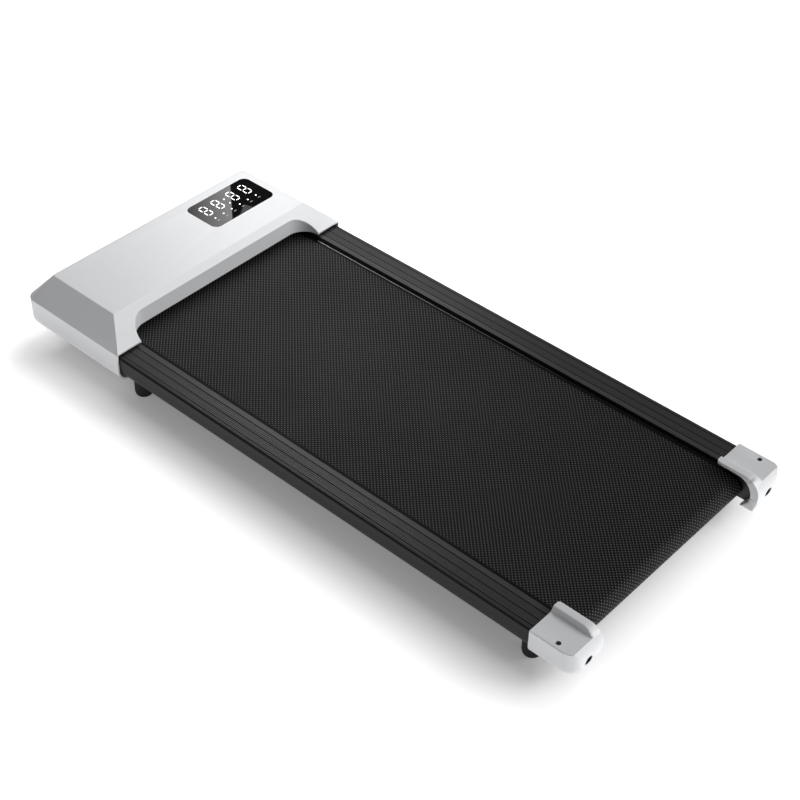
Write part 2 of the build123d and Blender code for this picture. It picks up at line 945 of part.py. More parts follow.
def foot_rail():
    rail = along_x(rail_section(), rail_front, rail_rear)
    past_roller = span(rear_axis - roller_radius, 0, rail_rear + cut_margin, rail_top - rail_inner_drop)
    rail = rail - along_y(past_roller, rail_inner - cut_margin, tube_inner + screw_gap)
    cap_hole = cap_screw_shank / 2 + fit_gap
    rail = rail - rod_z(cap_hole, 0, overall_height, half_length - cap_screw_from_end, cap_screw_offset)
    hole = rail_screw_shank / 2 + fit_gap
    low = tube_inner - rail_wall - cut_margin
    for x in rail_screw_places():
        rail = rail - rod_y(hole, low, tube_inner + cut_margin, x, rail_screw_height)
    return rail


def rail_screws():
    length = rail_wall + rail_screw_reach
    one = screw(rail_screw_shank, length, rail_screw_head, rail_screw_head_height, rail_screw_socket)
    seat = tube_inner - rail_wall
    row = group([Pos(x, seat, rail_screw_height) * Rot(90, 0, 0) * one for x in rail_screw_places()])
    return row + other_side(row)


# End caps, drawn with the rear end at X 0 and moved into place

def cap_side_view(inset):
    """The cap from the side: level top, a large roll, and a rear face that leans in below."""
    top = cap_guard_top - inset
    roll = cap_roll - inset
    front = -cap_length - inset
    turn = top - roll
    lean = cap_rear_curve - math.sqrt(cap_rear_curve ** 2 - (turn - cap_bottom) ** 2)
    low = (-inset - lean, cap_bottom - inset)
    edges = [
        Line((front, cap_bottom - inset), (front, top)),
        Line((front, top), (-inset - roll, top)),
        RadiusArc((-inset - roll, top), (-inset, turn), roll),
        RadiusArc((-inset, turn), low, cap_rear_curve),
        Line(low, (front, cap_bottom - inset)),
    ]
    return make_face(Curve() + edges)


def cap_section():
    """The cap from behind: guard over the belt's edge, slope, shelf, side and tuck."""
    inner = rail_inner - cap_guard_width
    return outline(
        (inner, cap_bottom, 0), (inner, cap_guard_top, cap_guard_inner_round),
        (rail_inner, cap_guard_top, cap_guard_outer_round),
        (rail_inner + cap_guard_slope, cap_shelf, cap_shelf_round), (half_width, cap_shelf, cap_shelf_round),
        (half_width, cap_bottom, cap_tuck))


def corner_waste(radius, x, y, x_sign, y_sign):
    """What a rounding takes off an upright edge, in plan, with room to spare outside."""
    centre_x = x - x_sign * radius
    centre_y = y - y_sign * radius
    reach = radius + cut_margin
    square = Pos(centre_x + x_sign * reach / 2, centre_y + y_sign * reach / 2) * Rectangle(reach, reach)
    return square - Pos(centre_x, centre_y) * Circle(radius)


def cap_solid():
    inner = rail_inner - cap_guard_width
    side = along_y(cap_side_view(0), inner - cut_margin, half_width + cut_margin)
    section = along_x(cap_section(), -cap_length, cut_margin)
    front_waste = corner_waste(cap_front_corner, -cap_length, inner, -1, -1)
    rear_waste = corner_waste(cap_corner, 0, half_width, 1, 1)
    return (side & section) - along_z(front_waste + rear_waste, 0, overall_height)


def hook_cut():
    """The hollow round the roller's end, open to the front and below."""
    centre_x = -hook_from_end
    centre_z = hook_top - hook_radius
    tip_x = -hook_tip_from_end
    drop = math.sqrt(hook_radius ** 2 - (tip_x - centre_x) ** 2)
    tip = (tip_x, centre_z - drop)
    front = -cap_length - hook_front_reach
    edges = [
        Line((front, 0), (front, hook_top)),
        Line((front, hook_top), (centre_x, hook_top)),
        ThreePointArc((centre_x, hook_top), (centre_x + hook_radius, centre_z), tip),
        Line(tip, (tip_x, 0)),
        Line((tip_x, 0), (front, 0)),
    ]
    return along_y(make_face(Curve() + edges), rail_inner - cap_guard_width - cut_margin, rail_inner)


def cap_cavity():
    """The room for the rail's end, the frame tube and the tension bolt, open below."""
    roof = rail_top + fit_gap
    outer = rail_outer + fit_gap
    inner = rail_inner - fit_gap
    lip = rail_outer - rail_lip_reach
    floor = cap_bottom + cap_wall
    front = -cap_length - cut_margin
    side = cap_side_view(cap_wall) & span(-cap_length - cap_wall, 0, 0, roof)
    section = outline((inner, floor, 0), (inner, roof, 0), (outer, roof, cap_hollow_round),
                      (outer, floor, cap_tuck - cap_wall))
    section = section + span(inner, 0, lip, floor + cap_wall)
    plan = outline((front, 0, 0), (-cap_wall, 0, 0), (-cap_wall, outer, cap_corner - cap_wall),
                   (front, outer, 0))
    hollow = along_y(side, 0, half_width) & along_x(section, front, 0)
    return hollow & along_z(plan, -cut_margin, overall_height)


def end_cap():
    cap = cap_solid() - hook_cut() - cap_cavity()
    cap = cap - rod_z(cap_screw_hole / 2, rail_top, overall_height, -cap_screw_from_end, cap_screw_offset)
    access_front = access_start - tube_rear_from_end
    cap = cap - rod_x(access_hole / 2, access_front, cut_margin, tube_centre, axis_height)
    return Pos(half_length, 0, 0) * cap


def cap_screws():
    head = cap_screw_hole - 2 * fit_gap
    one = screw(cap_screw_shank, cap_screw_reach, head, cap_screw_head_height, cap_screw_socket)
    one = Pos(half_length - cap_screw_from_end, cap_screw_offset, rail_top) * one
    return one + other_side(one)


# Running deck and belt

def cushion_places():
    return [(x, side * cushion_spread) for x in deck_beam_places for side in sides]


def running_deck():
    side = outline((deck_front, deck_bottom, 0), (deck_front, deck_top, deck_bevel),
                   (deck_rear, deck_top, deck_bevel), (deck_rear, deck_bottom, 0))
    deck = along_y(side, -deck_half_width, deck_half_width)
    above = deck_top + cut_margin
    for x, y in cushion_places():
        hole = rod_z(deck_screw_shank / 2 + fit_gap, deck_bottom - cut_margin, above, x, y)
        sink = rod_z(deck_screw_head / 2 + fit_gap, deck_top - deck_screw_sink, above, x, y)
        deck = deck - hole - sink
    return deck


def deck_cushions():
    ring = Circle(cushion_diameter / 2) - Circle(deck_screw_shank / 2 + cushion_bore_gap)
    return group([Pos(x, y, 0) * along_z(ring, beam_top, deck_bottom) for x, y in cushion_places()])


def deck_screws():
    length = deck_thickness - deck_screw_sink + cushion_height + deck_screw_reach
    one = screw(deck_screw_shank, length, deck_screw_head, deck_screw_head_height, deck_screw_socket)
    return group([Pos(x, y, deck_top - deck_screw_sink) * one for x, y in cushion_places()])


def running_belt():
    middle = (front_axis + rear_axis) / 2
    reach = rear_axis - front_axis
    loop = SlotCenterToCenter(reach, 2 * belt_outer_radius) - SlotCenterToCenter(reach, 2 * belt_inner_radius)
    return along_y(Pos(middle, axis_height) * loop, -belt_half_width, belt_half_width)


# Rollers, bearings and axles

def roller(x):
    profile = span(roller_radius - roller_wall, -roller_half_length, roller_radius, roller_half_length)
    return turned_y(profile, x, axis_height)


def bearing():
    """A sealed ball bearing: two rings with a set-back seal between them."""
    bore = axle_diameter / 2 + running_gap
    outer = bearing_diameter / 2
    half = bearing_width / 2
    profile = span(bore, -half, outer, half)
    for low, high in ((-half, bearing_seal_depth - half), (half - bearing_seal_depth, half)):
        profile = profile - span(bore + bearing_ring, low, outer - bearing_ring, high)
    return revolve(profile, Axis.Y)


def roller_bearings(x):
    place = roller_half_length - bearing_width / 2 - bearing_inset
    return group([Pos(x, side * place, axis_height) * bearing() for side in sides])


def front_axle():
    axle = rod_y(axle_diameter / 2, -tube_outer, tube_outer, front_axis, axis_height)
    thread_start = tube_outer - axle_thread_depth
    thread_radius = axle_bolt_shank / 2 + fit_gap
    thread = rod_y(thread_radius, thread_start, tube_outer + cut_margin, front_axis, axis_height)
    return axle - thread - other_side(thread)


def axle_bolts():
    length = side_plate_thickness + axle_bolt_reach
    bolt = screw(axle_bolt_shank, length, axle_bolt_head, axle_bolt_head_height, axle_bolt_socket)
    bolt = Pos(front_axis, plate_outer, axis_height) * Rot(-90, 0, 0) * bolt
    return bolt + other_side(bolt)


def rear_axle():
    end = tube_centre + tension_shank / 2 + axle_end_reach
    axle = rod_y(axle_diameter / 2, -end, end, rear_axis, axis_height)
    low = rear_axis - axle_diameter
    high = rear_axis + axle_diameter
    for side in sides:
        axle = axle - rod_x(tension_shank / 2, low, high, side * tube_centre, axis_height)
    return axle


# Drive

def groove_profile(radius):
    """The grooved rim's outline as radius and Y, with straight flanks."""
    rib_span = belt_ribs * belt_rib_pitch
    start = pulley_start + (pulley_width - rib_span) / 2
    rim = radius + pulley_rim
    points = [(rim, pulley_start), (rim, start - pulley_rim_run), (radius, start)]
    for rib in range(belt_ribs):
        low = start + rib * belt_rib_pitch
        points.append((radius - belt_rib_depth, low + belt_rib_pitch / 2))
        points.append((radius, low + belt_rib_pitch))
    return points + [(rim, start + rib_span + pulley_rim_run), (rim, pulley_end)]


def drive_pulley():
    spigot = roller_radius - roller_wall
    spigot_start = roller_half_length - pulley_spigot
    bore = axle_diameter / 2 + pulley_axle_gap
    points = groove_profile(pulley_diameter / 2)
    points += [(bore, pulley_end), (bore, spigot_start), (spigot, spigot_start), (spigot, pulley_start)]
    return turned_y(make_face(Polyline(*points, close=True)), front_axis, axis_height)


def motor_pulley():
    bore = shaft_diameter / 2
    points = groove_profile(motor_pulley_diameter / 2)
    points += [(bore, pulley_end), (bore, pulley_start)]
    return turned_y(make_face(Polyline(*points, close=True)), motor_x, motor_height)


def rim_point(x, z, radius, angle):
    return (x + radius * math.cos(angle), z + radius * math.sin(angle))


def belt_loop(grow):
    """The outline round both pulleys, grown outward from their rims, with straight tangent runs."""
    big = pulley_diameter / 2 + grow
    small = motor_pulley_diameter / 2 + grow
    run_x = front_axis - motor_x
    run_z = axis_height - motor_height
    reach = math.hypot(run_x, run_z)
    lean = math.atan2(run_z, run_x)
    wrap = math.asin((big - small) / reach)
    upper = lean + math.pi / 2 + wrap
    lower = lean - math.pi / 2 - wrap
    small_up = rim_point(motor_x, motor_height, small, upper)
    small_end = rim_point(motor_x, motor_height, small, lean + math.pi)
    small_low = rim_point(motor_x, motor_height, small, lower)
    big_up = rim_point(front_axis, axis_height, big, upper)
    big_end = rim_point(front_axis, axis_height, big, lean)
    big_low = rim_point(front_axis, axis_height, big, lower)
    edges = [
        Line(small_up, big_up),
        ThreePointArc(big_up, big_end, big_low),
        Line(big_low, small_low),
        ThreePointArc(small_low, small_end, small_up),
    ]
    return make_face(Curve() + edges)


def drive_belt():
    rib_span = belt_ribs * belt_rib_pitch
    start = pulley_start + (pulley_width - rib_span) / 2
    back = belt_loop(fit_gap + drive_belt_back) - belt_loop(fit_gap)
    belt = along_y(back, start, start + rib_span)
    ridge = belt_loop(fit_gap) - belt_loop(fit_gap - belt_rib_depth * belt_rib_depth_share)
    half_rib = belt_rib_pitch * belt_rib_width_share / 2
    for rib in range(belt_ribs):
        middle = start + (rib + 0.5) * belt_rib_pitch
        belt = belt + along_y(ridge, middle - half_rib, middle + half_rib)
    return belt


# Motor

def motor_can():
    start = motor_tail + end_bell
    end = motor_head - end_bell
    bore = motor_radius - motor_wall
    can = rod_y(motor_radius, start, end, motor_x, motor_height)
    return can - rod_y(bore, start - cut_margin, end + cut_margin, motor_x, motor_height)


def motor_end_bells():
    bore = shaft_diameter / 2 + running_gap
    pilot = pilot_diameter / 2
    tail_in = motor_tail + end_bell
    head_in = motor_head - end_bell
    nose = motor_head + bracket_thickness
    tail = outline((bore, motor_tail, 0), (motor_radius - end_bell_slope, motor_tail, end_bell_round),
                   (motor_radius, tail_in - end_bell_rim, end_bell_edge), (motor_radius, tail_in, 0),
                   (bore, tail_in, 0))
    head = outline((bore, head_in, 0), (motor_radius, head_in, 0), (motor_radius, motor_head, end_bell_rim),
                   (pilot, motor_head, 0), (pilot, nose, end_bell_edge), (bore, nose, 0))
    bells = turned_y(head, motor_x, motor_height)
    hole = motor_screw_shank / 2 + fit_gap
    for x, z in motor_screw_places():
        bells = bells - rod_y(hole, motor_head - motor_screw_depth, motor_head + cut_margin, x, z)
    return bells + turned_y(tail, motor_x, motor_height)


def motor_screw_places():
    turn = 2 * math.pi / motor_screw_count
    angles = [turn * (index + 0.5) for index in range(motor_screw_count)]
    return [rim_point(motor_x, motor_height, motor_screw_circle, angle) for angle in angles]


def motor_armature():
    core = motor_radius - motor_wall - air_gap
    tail_in = motor_tail + end_bell
    head_in = motor_head - end_bell
    shaft_start = motor_tail - fan_motor_gap - fan_width - shaft_reach
    shaft = span(0, shaft_start, shaft_diameter / 2, pulley_end + shaft_reach)
    windings = span(0, tail_in + core_inset, core, head_in - core_inset)
    commutator = span(0, tail_in + commutator_start, core * commutator_share, tail_in + commutator_end)
    return turned_y(shaft + windings + commutator, motor_x, motor_height)


def motor_fan():
    start = motor_tail - fan_motor_gap - fan_width
    end = start + fan_width
    hub = rod_y(fan_hub / 2, start, end, 0, 0)
    disc = rod_y(fan_radius, end - fan_disc, end, 0, 0)
    fan = hub + disc
    half_blade = fan_blade_thickness / 2
    blade = along_y(span(fan_hub / 2 - fan_root, -half_blade, fan_radius - fan_blade_inset, half_blade),
                    start, end - fan_root)
    for index in range(fan_blades):
        fan = fan + Rot(0, 360 / fan_blades * index, 0) * blade
    fan = fan - rod_y(shaft_diameter / 2, start - cut_margin, end + cut_margin, 0, 0)
    return Pos(motor_x, 0, motor_height) * fan


def motor_bracket():
    """A plate across the bay beams with its foot turned out along them."""
    front = tray_front
    rear = tray_rear
    top = motor_height + motor_radius - bracket_top_drop
    shoulder = bay_top + bracket_shoulder
    face = outline((front, bay_top, 0), (rear, bay_top, 0), (rear, shoulder, bracket_shoulder_round),
                   (motor_x + bracket_top_half, top, bracket_top_round),
                   (motor_x - bracket_top_half, top, bracket_top_round),
                   (front, shoulder, bracket_shoulder_round))
    skirt_front = front_bay_beam + bay_beam_width + cut_margin
    skirt_rear = rear_bay_beam - cut_margin
    skirt_low = bay_top - bracket_skirt
    skirt = outline((skirt_front, skirt_low, bracket_skirt_round), (skirt_rear, skirt_low, bracket_skirt_round),
                    (skirt_rear, bay_top + cut_margin, 0), (skirt_front, bay_top + cut_margin, 0))
    outside = motor_head + bracket_thickness
    plate = along_y(face + skirt, motor_head, outside)
    for x in bay_beam_places:
        foot = span(x, motor_head - bracket_foot, x + bay_beam_width, outside)
        plate = plate + along_z(foot, bay_top, bay_top + bracket_thickness)
    low = motor_head - cut_margin
    high = outside + cut_margin
    plate = plate - rod_y(pilot_diameter / 2, low, high, motor_x, motor_height)
    for x, z in motor_screw_places():
        plate = plate - rod_y(motor_screw_shank / 2 + fit_gap, low, high, x, z)
    return plate


def motor_screws():
    length = bracket_thickness + motor_screw_reach
    one = screw(motor_screw_shank, length, motor_screw_head, motor_screw_head_height, motor_screw_socket)
    seat = motor_head + bracket_thickness
    return group([Pos(x, seat, z) * Rot(-90, 0, 0) * one for x, z in motor_screw_places()])


def motor_saddle():
    """A cradle that carries the motor's tail on both bay beams, with a strap over the motor."""
    start = motor_tail + end_bell + saddle_inset
    end = start + saddle_width
    top = bay_top + saddle_height
    block = outline((tray_front, bay_top, saddle_edge), (tray_rear, bay_top, saddle_edge),
                    (tray_rear, top, saddle_round), (tray_front, top, saddle_round))
    cradle = along_y(block, start, end)
    cradle = cradle - rod_y(motor_radius, start - cut_margin, end + cut_margin, motor_x, motor_height)
    middle = Pos(motor_x, motor_height)
    outer = motor_radius + strap_thickness
    strap = middle * (Circle(outer) - Circle(motor_radius))
    strap = strap & span(motor_x - 2 * outer, top, motor_x + 2 * outer, overall_height)
    ears = span(motor_x - motor_radius - strap_ear_out, top, motor_x + motor_radius + strap_ear_out,
                top + strap_thickness)
    ears = ears - span(motor_x - motor_radius + strap_ear_in, top, motor_x + motor_radius - strap_ear_in,
                       top + strap_thickness)
    ears = ears - middle * Circle(motor_radius)
    return cradle + along_y(strap + ears, start + strap_inset, end - strap_inset)


# Feet and transport wheels

def rubber_foot():
    base = foot_base_diameter / 2
    radius = foot_diameter / 2
    profile = outline((0, 0, 0), (base, 0, foot_base_round), (radius, foot_flare_height, foot_flare_round),
                      (radius, tube_bottom, 0), (0, tube_bottom, 0))
    body = Rot(90, 0, 0) * revolve(profile, Axis.Y)
    body = body - rod_z(foot_bore / 2, -cut_margin, foot_screw_seat, 0, 0)
    hole = foot_screw_shank / 2 + fit_gap
    return body - rod_z(hole, foot_screw_seat - cut_margin, tube_bottom + cut_margin, 0, 0)


def rubber_feet():
    return group([Pos(x, side * tube_centre, 0) * rubber_foot() for x in foot_places for side in sides])


def foot_screws():
    length = tube_bottom - foot_screw_seat + foot_screw_reach
    one = screw(foot_screw_shank, length, foot_screw_head, foot_screw_head_height, foot_screw_socket)
    one = Rot(180, 0, 0) * one
    return group([Pos(x, side * tube_centre, foot_screw_seat) * one for x in foot_places for side in sides])


def transport_wheel():
    radius = wheel_diameter / 2
    half = wheel_width / 2
    bore = wheel_axle_diameter / 2 + running_gap
    hub = bore + wheel_hub
    rim = radius - wheel_rim
    dish = half - wheel_dish
    profile = outline(
        (bore, -half, 0), (hub, -half, 0), (hub, -dish, 0), (rim - wheel_rim_slope, -dish, 0), (rim, -half, 0),
        (radius, -half, wheel_edge_round), (radius, half, wheel_edge_round), (rim, half, 0),
        (rim - wheel_rim_slope, dish, 0), (hub, dish, 0), (hub, half, 0), (bore, half, 0))
    return Pos(wheel_x, wheel_offset, wheel_height) * revolve(profile, Axis.Y)


def wheel_brackets():
    half = wheel_width / 2 + wheel_side_gap
    inner = wheel_offset - half - bracket_sheet
    outer = wheel_offset + half
    seat = pan_bottom - bracket_sheet
    base = span(wheel_x - wheel_bracket_half, inner, wheel_x + wheel_bracket_half, outer + bracket_sheet)
    bracket = along_z(base, seat, pan_bottom)
    low = wheel_height - cheek_low_half
    cheek = outline((wheel_x - cheek_top_half, seat, 0), (wheel_x - cheek_low_half, low, cheek_round),
                    (wheel_x + cheek_low_half, low, cheek_round), (wheel_x + cheek_top_half, seat, 0))
    for start in (inner, outer):
        bracket = bracket + along_y(cheek, start, start + bracket_sheet)
    bracket = bracket - rod_y(wheel_axle_diameter / 2, 0, half_width, wheel_x, wheel_height)
    return bracket + other_side(bracket)


def wheel_axles():
    half = wheel_width / 2 + wheel_side_gap + bracket_sheet
    outer = wheel_offset + half
    start = wheel_offset - half - wheel_axle_reach
    pin = rod_y(wheel_axle_diameter / 2, start, outer, wheel_x, wheel_height)
    pin = pin + rod_y(wheel_axle_head / 2, outer, outer + wheel_axle_head_width, wheel_x, wheel_height)
    return pin + other_side(pin)


# Display

def display_lens():
    window = RectangleRounded(lens_length - 2 * fit_gap, lens_width - 2 * fit_gap, lens_corner - fit_gap)
    flange = RectangleRounded(
        lens_length + 2 * lens_flange, lens_width + 2 * lens_flange, lens_corner + lens_flange)
    lens = along_z(window, lens_seat, overall_height - lens_sink) + along_z(flange, lens_under, lens_seat)
    post_x = lens_length / 2 - post_inset
    post_y = lens_width / 2 - post_inset
    for x in sides:
        for y in sides:
            lens = lens + rod_z(post_diameter / 2, display_board_top, lens_under, x * post_x, y * post_y)
    return Pos(lens_x, lens_offset, 0) * lens


def display_board():
    top = display_board_top
    under = display_board_under
    plan = RectangleRounded(lens_length - board_inset, lens_width - board_inset, board_corner)
    board = along_z(plan, under, top)
    first_digit = -digit_pitch * (digit_count - 1) / 2
    for index in range(digit_count):
        block = Pos(-digit_lift, first_digit + index * digit_pitch) * Rectangle(digit_height, digit_width)
        board = board + along_z(block, top, lens_under - digit_gap)
    lamp_x = lens_length / 2 - lamp_inset
    for index in range(lamp_count):
        lamp = Pos(lamp_x, first_digit + index * lamp_pitch) * Rectangle(lamp_size, lamp_size)
        board = board + along_z(lamp, top, top + lamp_height)
    plug = Pos(0, board_plug_inset - lens_width / 2) * Rectangle(board_plug_length, board_plug_width)
    board = board + along_z(plug, under - board_plug_height, under)
    return Pos(lens_x, lens_offset, 0) * board


# Control tray, board and heat sink

def tray_row(share):
    """A place along the tray as a share of its length."""
    return tray_start + share * tray_length


def controller_tray():
    top = bay_top + tray_thickness
    plate = along_z(span(tray_front, tray_start, tray_rear, tray_end), bay_top, top)
    rim = span(tray_start, bay_top, tray_start + tray_thickness, bay_top + tray_rim)
    plate = plate + along_x(rim, tray_front, tray_rear)
    for x in (tray_front + tray_post_inset, tray_rear - tray_post_inset):
        for y in (tray_start + tray_post_end_inset, tray_end - tray_post_end_inset):
            plate = plate + rod_z(tray_post_diameter / 2, top, board_height, x, y)
    return plate


def on_board(x, y, length, width, height):
    """A square component that stands on the control board."""
    return along_z(span(x, y, x + length, y + width), board_top, board_top + height)


def controller_board():
    plan = span(tray_front + board_front_inset, tray_start + board_end_inset,
                tray_rear - board_front_inset, tray_end - board_end_inset)
    board = along_z(plan, board_height, board_top)
    for index in range(capacitor_count):
        x = motor_x - capacitor_first + index * capacitor_pitch
        board = board + rod_z(capacitor_diameter / 2, board_top, board_top + capacitor_height, x,
                              tray_row(capacitor_row))
    block_width = (block_row_end - block_row_start) * tray_length
    blocks = ((front_block_place, front_block_height), (rear_block_place, rear_block_height))
    for place, height in blocks:
        board = board + on_board(motor_x + place, tray_row(block_row_start), block_length, block_width, height)
    choke = Circle(choke_diameter / 2) - Circle(choke_bore / 2)
    choke = Pos(motor_x + choke_place, tray_row(choke_row)) * choke
    board = board + along_z(choke, board_top, board_top + choke_height)
    inner_row = tray_end - motor_terminal_inset
    terminals = ((mains_terminal_place, tray_start + mains_terminal_inset), (motor_terminal_place, inner_row),
                 (sensor_terminal_place, inner_row))
    for place, row in terminals:
        board = board + on_board(motor_x + place, row, terminal_length, terminal_width, terminal_height)
    plug_row = tray_end - tray_plug_end_inset
    return board + on_board(tray_front + tray_plug_inset, plug_row, tray_plug_length, tray_plug_width,
                            tray_plug_height)


def heat_sink():
    start = motor_x + sink_place
    low = tray_row(sink_row_start)
    width = (sink_row_end - sink_row_start) * tray_length
    sink = on_board(start, low, sink_length, width, sink_base)
    for index in range(sink_fin_count):
        sink = sink + on_board(start + index * sink_fin_pitch, low, sink_fin_thickness, width, sink_height)
    return sink


# Power panel, inlet and switch

def panel_place(offset):
    return Pos(panel_offset + offset, panel_centre_height)


def power_panel():
    width = panel_width - 2 * fit_gap
    height = panel_height - 2 * fit_gap
    outer = panel_place(0) * RectangleRounded(width, height, panel_corner - fit_gap)
    inner = panel_place(0) * RectangleRounded(
        width - 2 * panel_wall, height - 2 * panel_wall, panel_inner_corner)
    flange = panel_place(0) * RectangleRounded(
        panel_width + 2 * panel_flange_width, panel_height + 2 * panel_flange_height, panel_flange_corner)
    flange_front = hood_front + hood_wall
    tray = along_x(outer, hood_front + snap_gap, panel_back)
    tray = tray + along_x(flange, flange_front, flange_front + panel_flange_thickness)
    tray = tray - along_x(inner, hood_front - cut_margin, panel_face)
    inlet_hole = panel_place(inlet_offset) * Rectangle(inlet_width, inlet_height)
    switch_hole = panel_place(switch_offset) * Rectangle(switch_width, switch_height)
    return tray - along_x(inlet_hole + switch_hole, hood_front, panel_back + cut_margin)


def power_inlet():
    """A three-pin appliance inlet behind the panel's back wall."""
    middle = panel_place(inlet_offset)
    case = middle * Rectangle(inlet_width - 2 * snap_gap, inlet_height - 2 * snap_gap)
    flange = middle * RectangleRounded(
        inlet_width + 2 * inlet_flange_width, inlet_height + 2 * inlet_flange_height, inlet_flange_corner)
    socket = outline(
        (-socket_half_width, -socket_half_height, socket_round),
        (socket_half_width, -socket_half_height, socket_round),
        (socket_half_width, socket_shoulder_height, socket_round),
        (socket_shoulder_half, socket_half_height, socket_round),
        (-socket_shoulder_half, socket_half_height, socket_round),
        (-socket_half_width, socket_shoulder_height, socket_round))
    body = along_x(case, panel_face, panel_face + inlet_depth)
    body = body + along_x(flange, panel_back, panel_back + inlet_flange_thickness)
    body = body - along_x(middle * socket, panel_face - cut_margin, panel_face + socket_depth)
    tab_start = panel_face + inlet_depth - tab_root
    for offset, lift in ((-pin_spread, -pin_lift), (0, pin_lift), (pin_spread, -pin_lift)):
        pin = middle * Pos(offset, lift) * Rectangle(pin_width, pin_height)
        tab = middle * Pos(offset, lift) * Rectangle(tab_thickness, tab_height)
        body = body + along_x(pin, panel_face + pin_start, panel_face + pin_end)
        body = body + along_x(tab, tab_start, panel_face + inlet_tab_reach)
    return body


def switch_frame():
    middle = panel_place(switch_offset)
    width = switch_width - 2 * snap_gap
    height = switch_height - 2 * snap_gap
    room = middle * Rectangle(width - 2 * switch_frame_wall, height - 2 * switch_frame_wall)
    body = along_x(middle * Rectangle(width, height), panel_face, panel_face + switch_depth)
    body = body - along_x(room, panel_face - cut_margin, panel_face + switch_room_depth)
    for side in sides:
        tab = middle * Pos(side * switch_tab_spread, 0) * Rectangle(tab_thickness, tab_height)
        body = body + along_x(tab, panel_face + switch_depth - tab_root, panel_face + switch_tab_reach)
    return body


def power_switch():
    """The rocker: a shallow V that tips about an upright pivot."""
    half = switch_width / 2 - rocker_side_gap
    root_half = half - rocker_root_inset
    profile = outline(
        (-rocker_crest, -half, rocker_round), (-rocker_valley, 0, 0), (-rocker_crest, half, rocker_round),
        (rocker_root, root_half, rocker_root_round), (rocker_root, -root_half, rocker_root_round))
    rise = switch_height / 2 - rocker_end_gap
    rocker = along_z(profile, panel_centre_height - rise, panel_centre_height + rise)
    return Pos(switch_pivot, switch_y, 0) * Rot(0, 0, -switch_tilt) * rocker


# Speed sensor and its magnet

sensor_y = tube_outer - sensor_from_tube
sensor_z = axis_height + pulley_diameter / 2 - sensor_drop


def speed_sensor():
    low_x = front_axis - sensor_half_length
    high_x = front_axis + sensor_half_length
    outer = sensor_y + sensor_half_width
    body = along_z(span(low_x, sensor_y - sensor_half_width, high_x, outer),
                   sensor_z - sensor_below, sensor_z + sensor_above)
    ear = along_z(span(low_x, outer - sensor_ear_root, high_x, tube_outer),
                  sensor_z + sensor_ear_low, sensor_z + sensor_ear_high)
    return body + ear


def sensor_magnet():
    height = axis_height + pulley_diameter / 2 - magnet_drop
    return rod_y(magnet_diameter / 2, pulley_end, pulley_end + magnet_height, front_axis, height)


# Inner leads

def motor_leads():
    """Two leads from the motor's crown over its fan to the board's terminals."""
    over = motor_height + motor_radius + motor_lead_rise
    start = motor_tail + end_bell + motor_lead_inset
    end = tray_end - lead_landing
    pair = []
    for place in motor_lead_places:
        x = motor_x - place
        crown = motor_height + math.sqrt(motor_radius ** 2 - (place - lead_diameter / 2) ** 2)
        bend = min(lead_bend, (over - crown) * motor_lead_bend_share)
        points = [(x, start, crown), (x, start, over), (x, end, over), (x, end, board_top + terminal_height)]
        pair.append(lead(points, bend))
    return group(pair)


def display_cable():
    """From the display board's plug to the control board."""
    start = lens_offset - lens_width / 2 + display_lead_inset
    height = display_board_under - board_plug_height / 2
    end = tray_end - lead_landing
    points = [(lens_x, start, height), (lens_x, end, height), (lens_x, end, board_top + terminal_height)]
    return lead(points, 2 * lead_bend)


def power_leads():
    """From the inlet to the switch, and from both to the board's terminals."""
    inlet_tab = panel_face + inlet_tab_reach
    switch_tab = panel_face + switch_tab_reach
    middle = panel_centre_height
    pin_height_low = middle - pin_lift
    terminal = tray_start + mains_terminal_inset
    cross = board_top + mains_cross_height
    neutral_x = motor_x - neutral_lead_place
    switched_x = motor_x - switched_lead_place
    loop = inlet_tab + mains_loop
    live_y = inlet_y + pin_spread
    neutral_y = inlet_y - pin_spread
    switch_in = switch_y - switch_tab_spread
    switch_out = switch_y + switch_tab_spread
    live = [(inlet_tab, live_y, pin_height_low), (loop, live_y, pin_height_low), (loop, switch_in, middle),
            (switch_tab, switch_in, middle)]
    switched = [(switch_tab, switch_out, middle), (switch_tab + lead_stub, switch_out, middle),
                (switched_x, switch_out, cross), (switched_x, terminal, cross)]
    neutral = [(inlet_tab, neutral_y, pin_height_low), (inlet_tab + lead_stub, neutral_y, pin_height_low),
               (neutral_x, neutral_y, cross), (neutral_x, terminal, cross)]
    return group([lead(route, lead_bend) for route in (live, switched, neutral)])


def sensor_lead():
    """From the roller's sensor forward along the side plate and across in front of the bay's front beam."""
    exit_x = front_axis - sensor_half_length
    exit_z = sensor_z + sensor_lead_height
    front = plate_front - sensor_lead_front
    side = sensor_y + sensor_lead_side
    level = bay_top + sensor_lead_level
    end = tray_end - sensor_lead_end
    top = board_top + lead_diameter / 2 + sensor_lead_lift
    points = [
        (exit_x, sensor_y, exit_z),
        (front_axis - sensor_lead_straight, sensor_y, exit_z),
        (front_axis - sensor_lead_drop, side, level),
        (front + sensor_lead_turn, side, level),
        (front, side - sensor_lead_turn, level),
        (front, end + sensor_lead_rise, level),
        (front, end, top),
        (tray_front + tray_plug_inset, end, top),
    ]
    return lead(points, lead_tight_bend)


# One file for each piece

